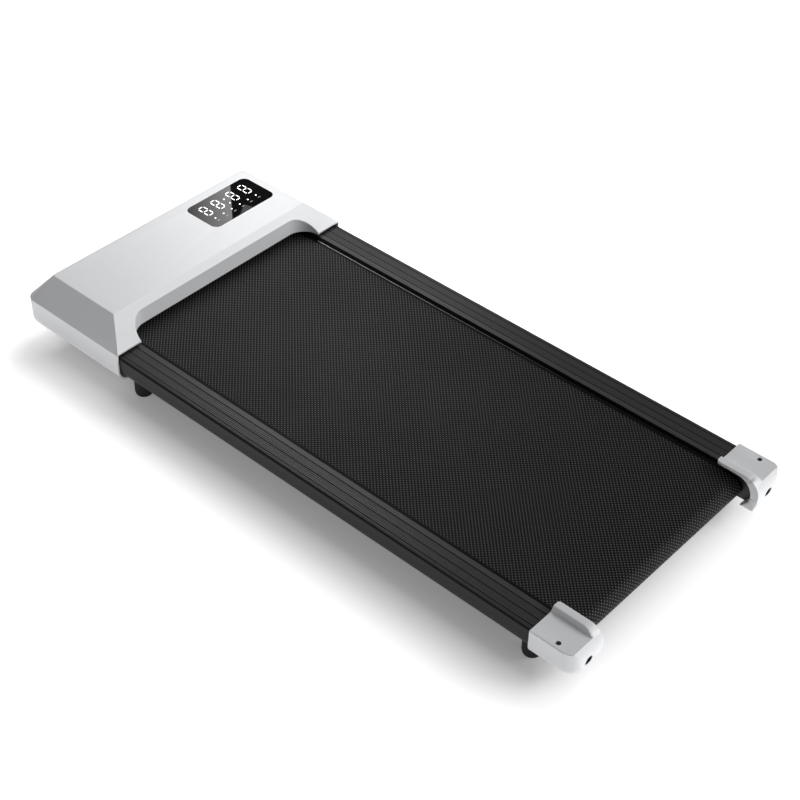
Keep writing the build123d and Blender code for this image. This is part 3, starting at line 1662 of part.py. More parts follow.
save("motor_hood", motor_hood())
save("hood_screws", hood_screws())
save("belly_pan", belly_pan())
save_pair("frame_tube", frame_tube())
save_pair("side_plate", side_plate())
save("plate_bolts", plate_bolts())
save("deck_beams", deck_beams())
save("bay_beams", bay_beams())
save("tube_end_plates", tube_end_plates())
save("tension_bolts", tension_bolts())
save_pair("foot_rail", foot_rail())
save("rail_screws", rail_screws())
save_pair("end_cap", end_cap())
save("cap_screws", cap_screws())
save("running_deck", running_deck())
save("deck_cushions", deck_cushions())
save("deck_screws", deck_screws())
save("running_belt", running_belt())
save("front_roller", roller(front_axis))
save("rear_roller", roller(rear_axis))
save("front_bearings", roller_bearings(front_axis))
save("rear_bearings", roller_bearings(rear_axis))
save("front_axle", front_axle())
save("axle_bolts", axle_bolts())
save("rear_axle", rear_axle())
save("drive_pulley", drive_pulley())
save("motor_pulley", motor_pulley())
save("drive_belt", drive_belt())
save("motor_can", motor_can())
save("motor_end_bells", motor_end_bells())
save("motor_armature", motor_armature())
save("motor_fan", motor_fan())
save("motor_bracket", motor_bracket())
save("motor_screws", motor_screws())
save("motor_saddle", motor_saddle())
save("rubber_feet", rubber_feet())
save("foot_screws", foot_screws())
save_pair("transport_wheel", transport_wheel())
save("wheel_brackets", wheel_brackets())
save("wheel_axles", wheel_axles())
save("display_lens", display_lens())
save("display_board", display_board())
save("controller_tray", controller_tray())
save("controller_board", controller_board())
save("heat_sink", heat_sink())
save("power_panel", power_panel())
save("power_inlet", power_inlet())
save("switch_frame", switch_frame())
save("power_switch", power_switch())
save("speed_sensor", speed_sensor())
save("sensor_magnet", sensor_magnet())
save("motor_leads", motor_leads())
save("display_cable", display_cable())
save("power_leads", power_leads())
save("sensor_lead", sensor_lead())
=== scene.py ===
import math

import bmesh
import bpy
from bpy.props import FloatProperty, FloatVectorProperty, IntProperty, PointerProperty
from mathutils import Matrix, Vector


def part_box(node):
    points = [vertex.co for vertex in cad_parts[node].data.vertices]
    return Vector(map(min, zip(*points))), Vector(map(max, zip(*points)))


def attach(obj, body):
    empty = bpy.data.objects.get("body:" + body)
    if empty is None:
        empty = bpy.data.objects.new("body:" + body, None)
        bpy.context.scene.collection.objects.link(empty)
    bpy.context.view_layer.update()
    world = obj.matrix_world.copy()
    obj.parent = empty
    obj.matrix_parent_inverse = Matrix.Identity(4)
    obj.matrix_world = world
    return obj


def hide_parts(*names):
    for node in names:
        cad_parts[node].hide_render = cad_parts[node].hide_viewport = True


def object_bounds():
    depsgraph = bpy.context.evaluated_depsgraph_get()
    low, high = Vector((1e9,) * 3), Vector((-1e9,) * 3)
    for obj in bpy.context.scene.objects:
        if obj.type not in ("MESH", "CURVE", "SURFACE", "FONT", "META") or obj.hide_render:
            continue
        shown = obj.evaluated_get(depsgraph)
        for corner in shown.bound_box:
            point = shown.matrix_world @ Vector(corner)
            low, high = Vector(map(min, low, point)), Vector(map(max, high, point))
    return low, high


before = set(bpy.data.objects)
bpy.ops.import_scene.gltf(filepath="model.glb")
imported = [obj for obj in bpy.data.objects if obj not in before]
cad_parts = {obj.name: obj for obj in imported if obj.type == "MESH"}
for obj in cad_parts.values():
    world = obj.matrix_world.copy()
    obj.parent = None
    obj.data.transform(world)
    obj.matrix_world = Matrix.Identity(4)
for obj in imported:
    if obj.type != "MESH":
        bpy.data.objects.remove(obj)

cad_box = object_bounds()

bl_info = {
    "name": "Walking pad",
    "version": (1, 0, 0),
    "blender": (4, 5, 0),
    "location": "View3D > Sidebar > Walking pad",
    "description": "Dresses the solids of a flat under-desk walking pad and sets up its studio",
    "category": "Object",
}

# Places taken from the solids

lens_low, lens_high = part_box("display_lens")
belt_low, belt_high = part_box("running_belt")
rail_low, rail_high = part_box("right_foot_rail")
cap_low, cap_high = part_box("right_end_cap")
deck_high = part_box("running_deck")[1]
hood_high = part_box("motor_hood")[1]

# Values that several pieces share

MILLIMETRE = 0.001
QUARTER_TURN = math.pi / 2
WHITE = (1, 1, 1, 1)
NOISE_LOW = 0.3
NOISE_HIGH = 0.7
WORN_START = 0.53
WORN_END = 0.62


# Sizes and colours that a user may change


def colour_property(name, description, default):
    """A colour"""
    return FloatVectorProperty(
        name=name, description=description, default=default, size=3, min=0, max=1, subtype="COLOR"
    )


def length_property(name, description, metres):
    """A length given in metres"""
    return FloatProperty(
        name=name, description=description, default=metres,
        min=0, precision=5, unit="LENGTH", subtype="DISTANCE",
    )


def fine_property(name, description, millimetres):
    """A length given in millimetres"""
    return length_property(name, description, millimetres * MILLIMETRE)


def angle_property(name, description, degrees):
    """An angle given in degrees"""
    return FloatProperty(
        name=name, description=description, default=math.radians(degrees), unit="ROTATION", subtype="ANGLE"
    )


def power_property(name, description, watts):
    """The power of a light"""
    return FloatProperty(name=name, description=description, default=watts, min=0, unit="POWER")


def plain_property(name, description, default):
    """A number without a unit"""
    return FloatProperty(name=name, description=description, default=default, min=0)


class WalkingPadColours(bpy.types.PropertyGroup):
    """Colours of the finishes"""

    shell: colour_property("Shell", "White of the hood and the end caps", (0.755, 0.762, 0.775))
    rail: colour_property("Rail", "Black of the foot rails", (0.028, 0.028, 0.0285))
    rail_side: colour_property("Rail side", "Black of the foot rails' upright sides", (0.014, 0.014, 0.0145))
    # Painted shade: the near black of the rails' grooves, of the line under their edges and of the belt's
    # border
    painted_shade: colour_property("Groove", "Black in the grooves of the foot rails", (0.0012, 0.0012, 0.0012))
    belt: colour_property("Belt", "Dark grey of the running belt", (0.006, 0.006, 0.0061))
    # Painted highlight: the paler colour stands in for glints on the raised dots' tops
    dot_glint: colour_property("Belt dots", "Grey of the raised dots on the belt", (0.13, 0.13, 0.132))
    lens: colour_property("Display window", "Black of the display window", (0.0015, 0.0015, 0.0017))
    light: colour_property("Display light", "White of the lit digits", (1.0, 1.0, 1.0))
    rubber: colour_property("Rubber", "Black of the feet and wheels", (0.012, 0.012, 0.012))
    # Painted highlight: the strips' pale colour stands in for a highlight along the deck's edges
    strip: colour_property("Deck strip", "Bright aluminium along the deck's edges", (0.85, 0.85, 0.86))
    floor: colour_property("Floor", "Pale floor under the pad", (0.93, 0.93, 0.935))


class WalkingPadSizes(bpy.types.PropertyGroup):
    """Sizes of the pieces that dress the solids"""

    # Painted shade: the rails darken below their ribs' tops and in a line under their edges
    rail_edge: fine_property("Rail edge", "Depth of the dark line under the rails' edges", 3)
    rib_depth: fine_property("Rib depth", "Depth over which the foot rails darken", 0.6)
    # The border has no dots and is coloured with the painted shade of the gap beside the rails
    belt_border: fine_property("Belt border", "Plain black border of the belt", 4.5)
    belt_thickness: fine_property("Belt thickness", "Thickness of the belt", 1.6)
    dot_pitch: fine_property("Dot pitch", "Distance between belt dots along the belt", 6.65)
    dot_height: fine_property("Dot height", "How far the belt dots stand out", 0.35)
    digit_height: fine_property("Digit height", "Height of a digit on the display", 29)
    digit_width: fine_property("Digit width", "Width of a digit on the display", 13.5)
    stroke: fine_property("Stroke", "Width of a digit's strokes", 1.6)
    print_height: fine_property("Print height", "Height of the lit marks over the window", 0.06)
    film_margin_x: fine_property("Film margin", "How far the film laps over the hood, fore and aft", 0.75)
    film_margin_y: fine_property("Film side margin", "How far the film laps over the hood, sideways", 1.4)
    film_corner: fine_property("Film corner", "Rounding of the film's corners", 12.7)
    strip_space: fine_property("Strip space", "Space between the belt and the deck's edge strip", 0.2)
    strip_height: fine_property("Strip height", "Thickness of the deck's edge strip", 0.5)
    cap_corner: fine_property("Cap corner", "Rounding of the caps' rear outer corner in plan", 22)
    cap_tuck: fine_property("Cap tuck", "Rounding under the caps' outer side", 20)
    cap_roll: fine_property("Cap roll", "Rounding of the caps' upper rear edge", 28)
    cap_rear_curve: fine_property("Cap rear curve", "Radius of the caps' leaning rear face", 78)
    cap_low_roll: fine_property("Cap lower roll", "Rounding of the caps' lower rear edge", 11)
    roll_fade: fine_property("Roll fade", "Width over which the caps' lower rounding fades inwards", 30)
    corner_fade: fine_property("Corner fade", "Height over which the caps' soft corner begins", 6)
    corner_edge: fine_property("Corner step", "Height between the cuts in the caps' soft corner", 1.5)
    corner_turns: IntProperty(
        name="Corner turns", description="Number of steps round the soft corner", default=15, min=1
    )
    weld: fine_property("Weld", "Distance under which points of a cap are one", 0.001)
    trim_gap: fine_property("Trim gap", "Clearance round the black trim in the end caps", 0.3)
    sleeve_wall: fine_property("Sleeve wall", "Wall of the sleeves in the access holes", 1.0)
    sleeve_recess: fine_property("Sleeve recess", "Depth of the sleeves behind the cap's end", 0.6)
    sleeve_lean: plain_property("Sleeve lean", "Slope of the sleeves' mouths", 0.11)
    shield_radius: fine_property("Shield radius", "Radius of the shields beside the rear roller", 27.7)
    hook_from_end: fine_property("Hook place", "Distance of the hook's middle from the cap's end", 41)
    hook_top: fine_property("Hook top", "Height of the shields' upper edge", 85.2)


class WalkingPadStage(bpy.types.PropertyGroup):
    """Camera and lights of the studio"""

    azimuth: angle_property("Azimuth", "Angle of the camera round the pad", 40.861)
    elevation: angle_property("Elevation", "Angle of the camera over the floor", 41.063)
    roll: angle_property("Roll", "Tilt of the picture", 1.573)
    distance: length_property("Distance", "Distance from the camera to its target", 2.66009)
    target: FloatVectorProperty(
        name="Target", description="Point at the middle of the picture", default=(0.028683, 0.004498, 0.05),
        size=3, subtype="TRANSLATION", unit="LENGTH",
    )
    focal_length: FloatProperty(
        name="Focal length", description="Lens for a picture 36 mm wide", default=76.022, unit="CAMERA"
    )
    floor_size: length_property("Floor size", "Side of the square floor", 60)
    # Painted shadow: the floor's glow is dim near the pad and white beyond the glow end
    shadow_reach: length_property("Shadow reach", "How far the deep shadow runs from the middle", 0.5)
    glow_end: length_property("Glow end", "Distance from the pad at which the floor is white", 0.26)
    glow: plain_property("Floor glow", "Light from under the floor by the pad", 0.2)
    far_glow: plain_property("Far glow", "Light from under the floor far away", 0.9)
    sky: plain_property("Sky", "Strength of the sky on its bright side", 0.6)
    sky_dark: plain_property("Dark sky", "Strength of the sky on its dark side", 0.03)
    sky_side: FloatVectorProperty(
        name="Sky side", description="Where the sky is bright", default=(0.5, 0.65, 0.57),
        size=3, subtype="DIRECTION",
    )
    hood_light: power_property("Hood light", "Power of the light beyond the hood", 4.5)
    rear_light: power_property("Rear light", "Power of the light behind the end caps", 140)
    near_light: power_property("Near light", "Power of the light on the near side", 1.2)
    card: plain_property("Card", "Brightness of the card seen in the window", 13)


# Material helpers


def put(tree, kind, inputs=(), **choices):
    """Adds a shader node, with its choices and the values or sockets of its inputs"""
    made = tree.nodes.new("ShaderNode" + kind)
    for name, value in choices.items():
        setattr(made, name, value)
    for name, value in dict(inputs).items():
        if isinstance(value, bpy.types.NodeSocket):
            tree.links.new(value, made.inputs[name])
        else:
            made.inputs[name].default_value = value
    return made


def start_material(name):
    """A new material with an empty node tree and its output"""
    material = bpy.data.materials.new(name)
    material.use_nodes = True
    tree = material.node_tree
    tree.nodes.clear()
    output = put(tree, "OutputMaterial")
    return material, tree, output


def principled(tree, output, inputs):
    """Adds the surface shader and joins it to the material's output"""
    shader = put(tree, "BsdfPrincipled", inputs)
    tree.links.new(shader.outputs["BSDF"], output.inputs["Surface"])


def solid(colour):
    """A colour with full cover"""
    return (colour[0], colour[1], colour[2], 1.0)


def shaded(colour, factor):
    """A colour made darker or lighter"""
    return tuple(min(1.0, channel * factor) for channel in colour)


def object_place(tree, stretch=(1, 1, 1)):
    """The place on the object, stretched along its axes"""
    place = put(tree, "TexCoord").outputs["Object"]
    return put(tree, "Mapping", {"Vector": place, "Scale": stretch}).outputs["Vector"]


def noise(tree, vector, scale, detail=3.0):
    """A cloudy pattern"""
    inputs = {"Vector": vector, "Scale": scale, "Detail": detail, "Roughness": 0.55}
    return put(tree, "TexNoise", inputs).outputs["Fac"]


def fine_grain(tree, vector, scale):
    """A plainer pattern for a surface's grain"""
    return noise(tree, vector, scale, detail=2.0)


def ranged(tree, value, low, high, to_low, to_high):
    """A value carried from one range to another"""
    inputs = {"Value": value, "From Min": low, "From Max": high, "To Min": to_low, "To Max": to_high}
    return put(tree, "MapRange", inputs).outputs["Result"]


def rising(tree, value, start, end):
    """Rises from 0 to 1 while a value goes from its start to its end"""
    return ranged(tree, value, start, end, 0.0, 1.0)


def wandering(tree, pattern, low, high):
    """Wanders with a pattern between two values"""
    return ranged(tree, pattern, NOISE_LOW, NOISE_HIGH, low, high)


def blended(tree, factor, first, second):
    """A blend of two colours, by the colour sockets of the Mix node"""
    first_colour = 6
    second_colour = 7
    colour_result = 2
    inputs = {"Factor": factor, first_colour: first, second_colour: second}
    return put(tree, "Mix", inputs, data_type="RGBA").outputs[colour_result]


def varied(tree, pattern, colour, low, high):
    """A colour that wanders between a darker and a lighter shade"""
    return blended(tree, pattern, solid(shaded(colour, low)), solid(shaded(colour, high)))


def edge_mask(tree):
    """White along the outer edges of a solid"""
    pointiness = put(tree, "NewGeometry").outputs["Pointiness"]
    return rising(tree, pointiness, WORN_START, WORN_END)


def grained(tree, height, strength, millimetres):
    """The surface's direction, made uneven by a height pattern of some depth"""
    inputs = {"Height": height, "Strength": strength, "Distance": millimetres * MILLIMETRE}
    return put(tree, "Bump", inputs).outputs["Normal"]


def finish(name, colour, *, roughness, spread, cloud_scale, grain_scale, grain_height, variation, wear,
           metallic=0.0, coat=0.0, specular=0.5, stretch=(1, 1, 1)):
    """A moulded, cast, drawn or painted surface: clouds of colour and gloss, fine grain and worn edges"""
    material, tree, output = start_material(name)
    place = object_place(tree, stretch)
    clouds = noise(tree, place, cloud_scale)
    grain = fine_grain(tree, place, grain_scale)
    body = varied(tree, clouds, colour, 1 - variation, 1 + variation)
    principled(tree, output, {
        "Base Color": blended(tree, edge_mask(tree), body, solid(shaded(colour, wear))),
        "Roughness": wandering(tree, clouds, roughness - spread, roughness + spread),
        "Metallic": metallic,
        "Coat Weight": coat,
        "Coat Roughness": 0.25,
        "Specular IOR Level": specular,
        "Normal": grained(tree, grain, strength=0.35, millimetres=grain_height),
    })
    return material


def dress(material, *names):
    """Gives CAD nodes a material"""
    for name in names:
        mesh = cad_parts[name].data
        mesh.materials.clear()
        mesh.materials.append(material)


# Mesh helpers


def mesh_piece(name, points, faces, material, body, slot):
    """A new mesh piece that rides a body"""
    mesh = bpy.data.meshes.new(name)
    mesh.from_pydata(points, [], faces)
    mesh.validate()
    mesh.materials.append(material)
    piece = bpy.data.objects.new(name, mesh)
    bpy.context.scene.collection.objects.link(piece)
    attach(piece, body)
    return piece


def circle_outline(x, y, radius, sides=16):
    """A circle as a polygon"""
    turn = 2 * math.pi / sides
    angles = [index * turn for index in range(sides)]
    return [(x + radius * math.cos(angle), y + radius * math.sin(angle)) for angle in angles]


def bar_outline(x, y, length, width):
    """A rectangle whose length lies across the pad"""
    return [(x - width / 2, y - length / 2), (x + width / 2, y - length / 2),
            (x + width / 2, y + length / 2), (x - width / 2, y + length / 2)]


def slab(points, faces, outline, low, high):
    """Adds a thin flat plate with a given outline"""
    first = len(points)
    count = len(outline)
    points.extend((x, y, low) for x, y in outline)
    points.extend((x, y, high) for x, y in outline)
    faces.append(tuple(range(first + count, first + 2 * count)))
    faces.append(tuple(reversed(range(first, first + count))))
    for index in range(count):
        following = (index + 1) % count
        faces.append((first + index, first + following, first + count + following, first + count + index))


def closed_rings(points, faces, loops):
    """Joins loops of equal length, each to the next and the last to the first"""
    first = len(points)
    count = len(loops[0])
    for loop in loops:
        points.extend(loop)
    for ring in range(len(loops)):
        here = first + ring * count
        there = first + (ring + 1) % len(loops) * count
        for index in range(count):
            following = (index + 1) % count
            faces.append((here + index, here + following, there + following, there + index))


# End caps with a soft lower corner


def clamped(value):
    """A share kept between 0 and 1"""
    return min(max(value, 0.0), 1.0)


def eased(share):
    """A share that starts and ends gently"""
    return share * share * (3 - 2 * share)


def corner_reach(sizes, angle, depth, tuck_depth):
    """Reach of the corner from its upright axis, at an angle from the side and a depth under the top"""
    tuck = sizes.cap_tuck
    tuck_drop = min(max(depth - tuck_depth, 0.0), tuck)
    side = sizes.cap_corner - tuck + math.sqrt(tuck ** 2 - tuck_drop ** 2)
    curve = sizes.cap_rear_curve
    rear_drop = max(depth - sizes.cap_roll, 0.0)
    rear = sizes.cap_corner - curve + math.sqrt(curve ** 2 - rear_drop ** 2)
    share = eased(clamped(2 * angle / QUARTER_TURN - 1))
    return side * (1 - share) + rear * share


def corner_cuts(sizes, axis, highest, side):
    """Planes that divide a cap into a fine grid round its rear outer corner"""
    cuts = [(axis - Vector((0, side * sizes.roll_fade, 0)), Vector((0, 1, 0)))]
    levels = math.ceil((highest - cap_low.z) / sizes.corner_edge)
    for level in range(1, levels + 1):
        height = cap_low.z + (highest - cap_low.z) * level / levels
        cuts.append((Vector((0, 0, height)), Vector((0, 0, 1))))
    for turn in range(sizes.corner_turns + 1):
        angle = QUARTER_TURN * turn / sizes.corner_turns
        cuts.append((axis, Vector((math.cos(angle), -side * math.sin(angle), 0))))
    return cuts


def soft_corner(shape, sizes, side):
    """Draws the lower end of a cap's rear outer corner in to a smooth round"""
    axis = Vector((cap_high.x - sizes.cap_corner, side * (cap_high.y - sizes.cap_corner), 0))
    tuck_depth = cap_high.z - cap_low.z - sizes.cap_tuck
    highest = cap_high.z - tuck_depth
    roll = sizes.cap_low_roll
    for place, facing in corner_cuts(sizes, axis, highest, side):
        everything = shape.verts[:] + shape.edges[:] + shape.faces[:]
        bmesh.ops.bisect_plane(shape, geom=everything, dist=sizes.weld, plane_co=place, plane_no=facing)
    for vertex in shape.verts:
        across = (vertex.co.y - axis.y) * side
        along = vertex.co.x - axis.x
        if along <= 0 or vertex.co.z >= highest:
            continue
        rise = min(vertex.co.z - cap_low.z, roll)
        bend = (roll - math.sqrt(roll ** 2 - (roll - rise) ** 2)) / sizes.cap_corner
        if across <= 0:
            fade = max(1 + across / sizes.roll_fade, 0.0)
            vertex.co.x = axis.x + along * (1 - bend * fade)
            continue
        angle = math.atan2(along, across)
        depth = cap_high.z - vertex.co.z
        outer = min(
            sizes.cap_corner,
            corner_reach(sizes, 0.0, depth, tuck_depth) / math.cos(angle),
            corner_reach(sizes, QUARTER_TURN, depth, tuck_depth) / math.sin(angle),
        )
        drawn = max(1 - corner_reach(sizes, angle, depth, tuck_depth) / outer, 0.0)
        share = min((highest - vertex.co.z) / sizes.corner_fade, 1.0)
        scale = (1 - drawn * share) * (1 - bend * math.sin(angle) ** 2)
        vertex.co.x = axis.x + along * scale
        vertex.co.y = axis.y + across * side * scale
    bmesh.ops.triangulate(shape, faces=shape.faces[:])


def soft_cap(node, sizes, side):
    """A copy of a cap's solid with its lower corner made smooth"""
    sharp_angle = math.radians(30)
    shape = bmesh.new()
    shape.from_mesh(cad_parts[node].data)
    shape.transform(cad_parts[node].matrix_world)
    bmesh.ops.remove_doubles(shape, verts=shape.verts, dist=sizes.weld)
    soft_corner(shape, sizes, side)
    shape.normal_update()
    mesh = bpy.data.meshes.new(f"soft_{node}")
    shape.to_mesh(mesh)
    shape.free()
    mesh.shade_smooth()
    mesh.set_sharp_from_angle(angle=sharp_angle)
    return mesh


# White shell


class WALKINGPAD_OT_shell(bpy.types.Operator):
    """Paints the motor hood and the two end caps in satin white, and softens the caps"""

    bl_idname = "walking_pad.shell"
    bl_label = "White shell"

    def execute(self, context):
        colours = context.scene.walking_pad_colours
        sizes = context.scene.walking_pad_sizes
        white = finish(
            "satin_white_shell", colours.shell, roughness=0.38, spread=0.04, coat=0.1,
            cloud_scale=6.0, grain_scale=1400.0, grain_height=0.012, variation=0.012, wear=1.08,
        )
        dress(white, "motor_hood", "left_end_cap", "right_end_cap")
        for node, side in (("left_end_cap", -1), ("right_end_cap", 1)):
            mesh = soft_cap(node, sizes, side)
            mesh.materials.append(white)
            cap = bpy.data.objects.new(f"soft_{node}", mesh)
            context.scene.collection.objects.link(cap)
            cap.modifiers.new("even_faces", "WEIGHTED_NORMAL").keep_sharp = True
            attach(cap, "frame")
            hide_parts(node)
        return {"FINISHED"}


# Foot rails


def rail_material(colours, sizes):
    """Drawn black finish, paler on the ribs' tops, with painted shade near black in the grooves and in a line
    under the edges, and a darker black on the upright sides
    """
    edge_blend = 1.5
    worn_shade = 1.5
    material, tree, output = start_material("drawn_black_rail")
    place = object_place(tree)
    streaks = noise(tree, object_place(tree, stretch=(0.02, 1, 1)), scale=160.0)
    grain = fine_grain(tree, place, scale=2200.0)
    height = put(tree, "SeparateXYZ", {"Vector": place}).outputs["Z"]
    top = rail_high.z
    # Painted shade: below the ribs' tops the grooves and a line under the edges go near black, and lower down
    # the sides a darker black
    ribs = rising(tree, height, start=top - sizes.rib_depth, end=top - sizes.rib_depth / 2)
    sides = rising(tree, height, start=top - sizes.rail_edge, end=top - sizes.rail_edge * edge_blend)
    dark = blended(tree, sides, solid(colours.painted_shade), solid(colours.rail_side))
    drawn = varied(tree, streaks, colours.rail, low=0.85, high=1.15)
    body = blended(tree, ribs, dark, drawn)
    worn = put(tree, "Math", {0: edge_mask(tree), 1: ribs}, operation="MULTIPLY").outputs["Value"]
    principled(tree, output, {
        "Base Color": blended(tree, worn, body, solid(shaded(colours.rail, worn_shade))),
        "Roughness": wandering(tree, streaks, low=0.36, high=0.46),
        "Normal": grained(tree, grain, strength=0.35, millimetres=0.02),
        "Specular IOR Level": 0.22,
    })
    return material


class WALKINGPAD_OT_rails(bpy.types.Operator):
    """Gives the ribbed foot rails a drawn black finish"""

    bl_idname = "walking_pad.rails"
    bl_label = "Foot rails"

    def execute(self, context):
        colours = context.scene.walking_pad_colours
        sizes = context.scene.walking_pad_sizes
        dress(rail_material(colours, sizes), "left_foot_rail", "right_foot_rail")
        return {"FINISHED"}


# Running belt

DOT_TOP = 1.0
DOT_GROUND = 0.0
# The plain border and the underside are coloured with painted shade
SHADED_BORDER = -1.0


def turning_point(middle, height, radius, angle):
    """A point where the belt turns round a roller, with its outward direction"""
    out_x = math.sin(angle)
    out_z = math.cos(angle)
    return middle + radius * out_x, height + radius * out_z, out_x, out_z


def belt_profile(middle_front, middle_rear, height, radius, step):
    """Points round the belt loop with their outward directions, a step apart"""
    straight = middle_rear - middle_front
    turn = math.pi * radius
    total = 2 * (straight + turn)
    count = 2 * round(total / step / 2)
    loop = []
    for index in range(count):
        run = index * total / count
        if run < straight:
            loop.append((middle_front + run, height + radius, 0.0, 1.0))
        elif run < straight + turn:
            angle = (run - straight) / radius
            loop.append(turning_point(middle_rear, height, radius, angle))
        elif run < 2 * straight + turn:
            back = run - straight - turn
            loop.append((middle_rear - back, height - radius, 0.0, -1.0))
        else:
            angle = math.pi + (run - 2 * straight - turn) / radius
            loop.append(turning_point(middle_front, height, radius, angle))
    return loop


def belt_points(sizes, loop, across):
    """Points of the belt, ring by ring, and what each one belongs to"""
    points = []
    kinds = []
    for index, (x, z, out_x, out_z) in enumerate(loop):
        for row, y in enumerate(across):
            inside = belt_high.y - abs(y) > sizes.belt_border
            raised = inside and (index + row) % 2 == 0
            sink = 0.0 if raised else sizes.dot_height
            points.append((x - out_x * sink, y, z - out_z * sink))
            ground = DOT_GROUND if inside else SHADED_BORDER
            kinds.append(DOT_TOP if raised else ground)
        for y in (belt_high.y, belt_low.y):
            points.append((x - out_x * sizes.belt_thickness, y, z - out_z * sizes.belt_thickness))
            kinds.append(SHADED_BORDER)
    return points, kinds


def belt_faces(rings, ring, rows):
    """Faces between the rings, split between their low corners so that each dot is a small pyramid"""
    faces = []
    for index in range(rings):
        here = index * ring
        there = (index + 1) % rings * ring
        for row in range(ring):
            following = (row + 1) % ring
            corners = (there + row, there + following, here + following, here + row)
            if row >= rows:
                faces.append(corners)
            elif (index + row) % 2 == 0:
                faces.extend(((corners[0], corners[1], corners[2]), (corners[0], corners[2], corners[3])))
            else:
                faces.extend(((corners[0], corners[1], corners[3]), (corners[1], corners[2], corners[3])))
    return faces


def belt_mesh(sizes):
    """A closed loop whose outer side carries a diamond lattice of raised dots"""
    radius = (belt_high.z - belt_low.z) / 2
    height = (belt_high.z + belt_low.z) / 2
    width = belt_high.y - belt_low.y
    step = sizes.dot_pitch / 2
    loop = belt_profile(belt_low.x + radius, belt_high.x - radius, height, radius, step)
    rows = 2 * round(width / step / 2)
    across = [belt_low.y + width * row / rows for row in range(rows + 1)]
    points, kinds = belt_points(sizes, loop, across)
    faces = belt_faces(len(loop), len(points) // len(loop), rows)
    return points, faces, kinds


def belt_material(colours):
    """Matt black cover with a painted highlight on the raised dots' tops and painted shade on its plain
    border
    """
    material, tree, output = start_material("belt_cover")
    place = object_place(tree)
    clouds = noise(tree, place, scale=7.0)
    grain = fine_grain(tree, place, scale=1600.0)
    dot = put(tree, "Attribute", attribute_name="dot").outputs["Fac"]
    # Painted highlight on the dots' tops, and painted shade on the plain border
    tops = rising(tree, dot, start=0.55, end=0.75)
    border = rising(tree, dot, start=-0.2, end=-0.5)
    body = varied(tree, clouds, colours.belt, low=0.85, high=1.15)
    glinting = blended(tree, tops, body, solid(colours.dot_glint))
    principled(tree, output, {
        "Base Color": blended(tree, border, glinting, solid(colours.painted_shade)),
        "Roughness": wandering(tree, clouds, low=0.5, high=0.6),
        "Normal": grained(tree, grain, strength=0.4, millimetres=0.03),
        "Specular IOR Level": 0.1,
    })
    return material


class WALKINGPAD_OT_belt(bpy.types.Operator):
    """Makes the running belt with its lattice of raised dots"""

    bl_idname = "walking_pad.belt"
    bl_label = "Running belt"

    def execute(self, context):
        cover = belt_material(context.scene.walking_pad_colours)
        points, faces, kinds = belt_mesh(context.scene.walking_pad_sizes)
        belt = mesh_piece("dotted_running_belt", points, faces, cover, "frame", "belt_surface")
        belt.data.attributes.new("dot", "FLOAT", "POINT").data.foreach_set("value", kinds)
        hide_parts("running_belt")
        return {"FINISHED"}


# Black trim inside the end caps


def black_plastic():
    """Moulded black plastic with a fine eroded grain, made once"""
    made = bpy.data.materials.get("grained_black_plastic")
    if made:
        return made
    return finish(
        "grained_black_plastic", (0.016, 0.016, 0.017), roughness=0.46, spread=0.06,
        cloud_scale=25.0, grain_scale=1300.0, grain_height=0.06, variation=0.12, wear=1.7,
    )


def access_sleeves(sizes):
    """A black sleeve from each tension bolt's head to its hole in the cap"""
    points, faces = [], []
    bolt_low, bolt_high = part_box("tension_bolts")
    start = bolt_high.x + sizes.trim_gap
    end = cap_high.x - sizes.sleeve_recess
    height = (bolt_low.z + bolt_high.z) / 2
    head = (bolt_high.z - bolt_low.z) / 2
    inner = head + sizes.trim_gap
    outer = inner + sizes.sleeve_wall
    for side in (-1, 1):
        middle = side * (bolt_high.y - head)
        loops = []
        for radius, x in ((outer, start), (outer, end), (inner, end), (inner, start)):
            lean = sizes.sleeve_lean if x == end else 0.0
            ring = circle_outline(middle, height, radius, sides=48)
            loops.append([(x - lean * (height + outer - z), y, z) for y, z in ring])
        closed_rings(points, faces, loops)
    return points, faces


def end_shields(sizes):
    """A black shield beside each end of the rear roller, inside the cap's hook"""
    points, faces = [], []
    shield_sides = 64
    roller_clearance = 2 * sizes.trim_gap
    rail_clearance = sizes.trim_gap / 2
    axle_clearance = 4 * sizes.trim_gap
    axle_low, axle_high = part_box("rear_axle")
    roller_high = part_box("rear_roller")[1]
    start = roller_high.y + roller_clearance
    end = rail_low.y - rail_clearance
    axle_x = (axle_low.x + axle_high.x) / 2
    axle_z = (axle_low.z + axle_high.z) / 2
    hole = axle_high.x - axle_x + axle_clearance
    hook_x = cap_high.x - sizes.hook_from_end
    hook_z = sizes.hook_top - sizes.shield_radius
    low = cap_low.z + sizes.trim_gap
    round_rim = circle_outline(hook_z, hook_x, sizes.shield_radius, shield_sides)
    rim = [(x, max(z, low)) for z, x in round_rim]
    bore = [(x, z) for z, x in circle_outline(axle_z, axle_x, hole, shield_sides)]
    for near, far in ((start, end), (-end, -start)):
        loops = []
        for outline, y in ((rim, near), (rim, far), (bore, far), (bore, near)):
            loops.append([(x, y, z) for x, z in outline])
        closed_rings(points, faces, loops)
    return points, faces


class WALKINGPAD_OT_cap_trim(bpy.types.Operator):
    """Makes the black sleeves and shields inside the end caps"""

    bl_idname = "walking_pad.cap_trim"
    bl_label = "End cap trim"

    def execute(self, context):
        sizes = context.scene.walking_pad_sizes
        mesh_piece("cap_access_sleeves", *access_sleeves(sizes), black_plastic(), "frame", "black_plastic")
        mesh_piece("roller_end_shields", *end_shields(sizes), black_plastic(), "frame", "black_plastic")
        return {"FINISHED"}


# Display


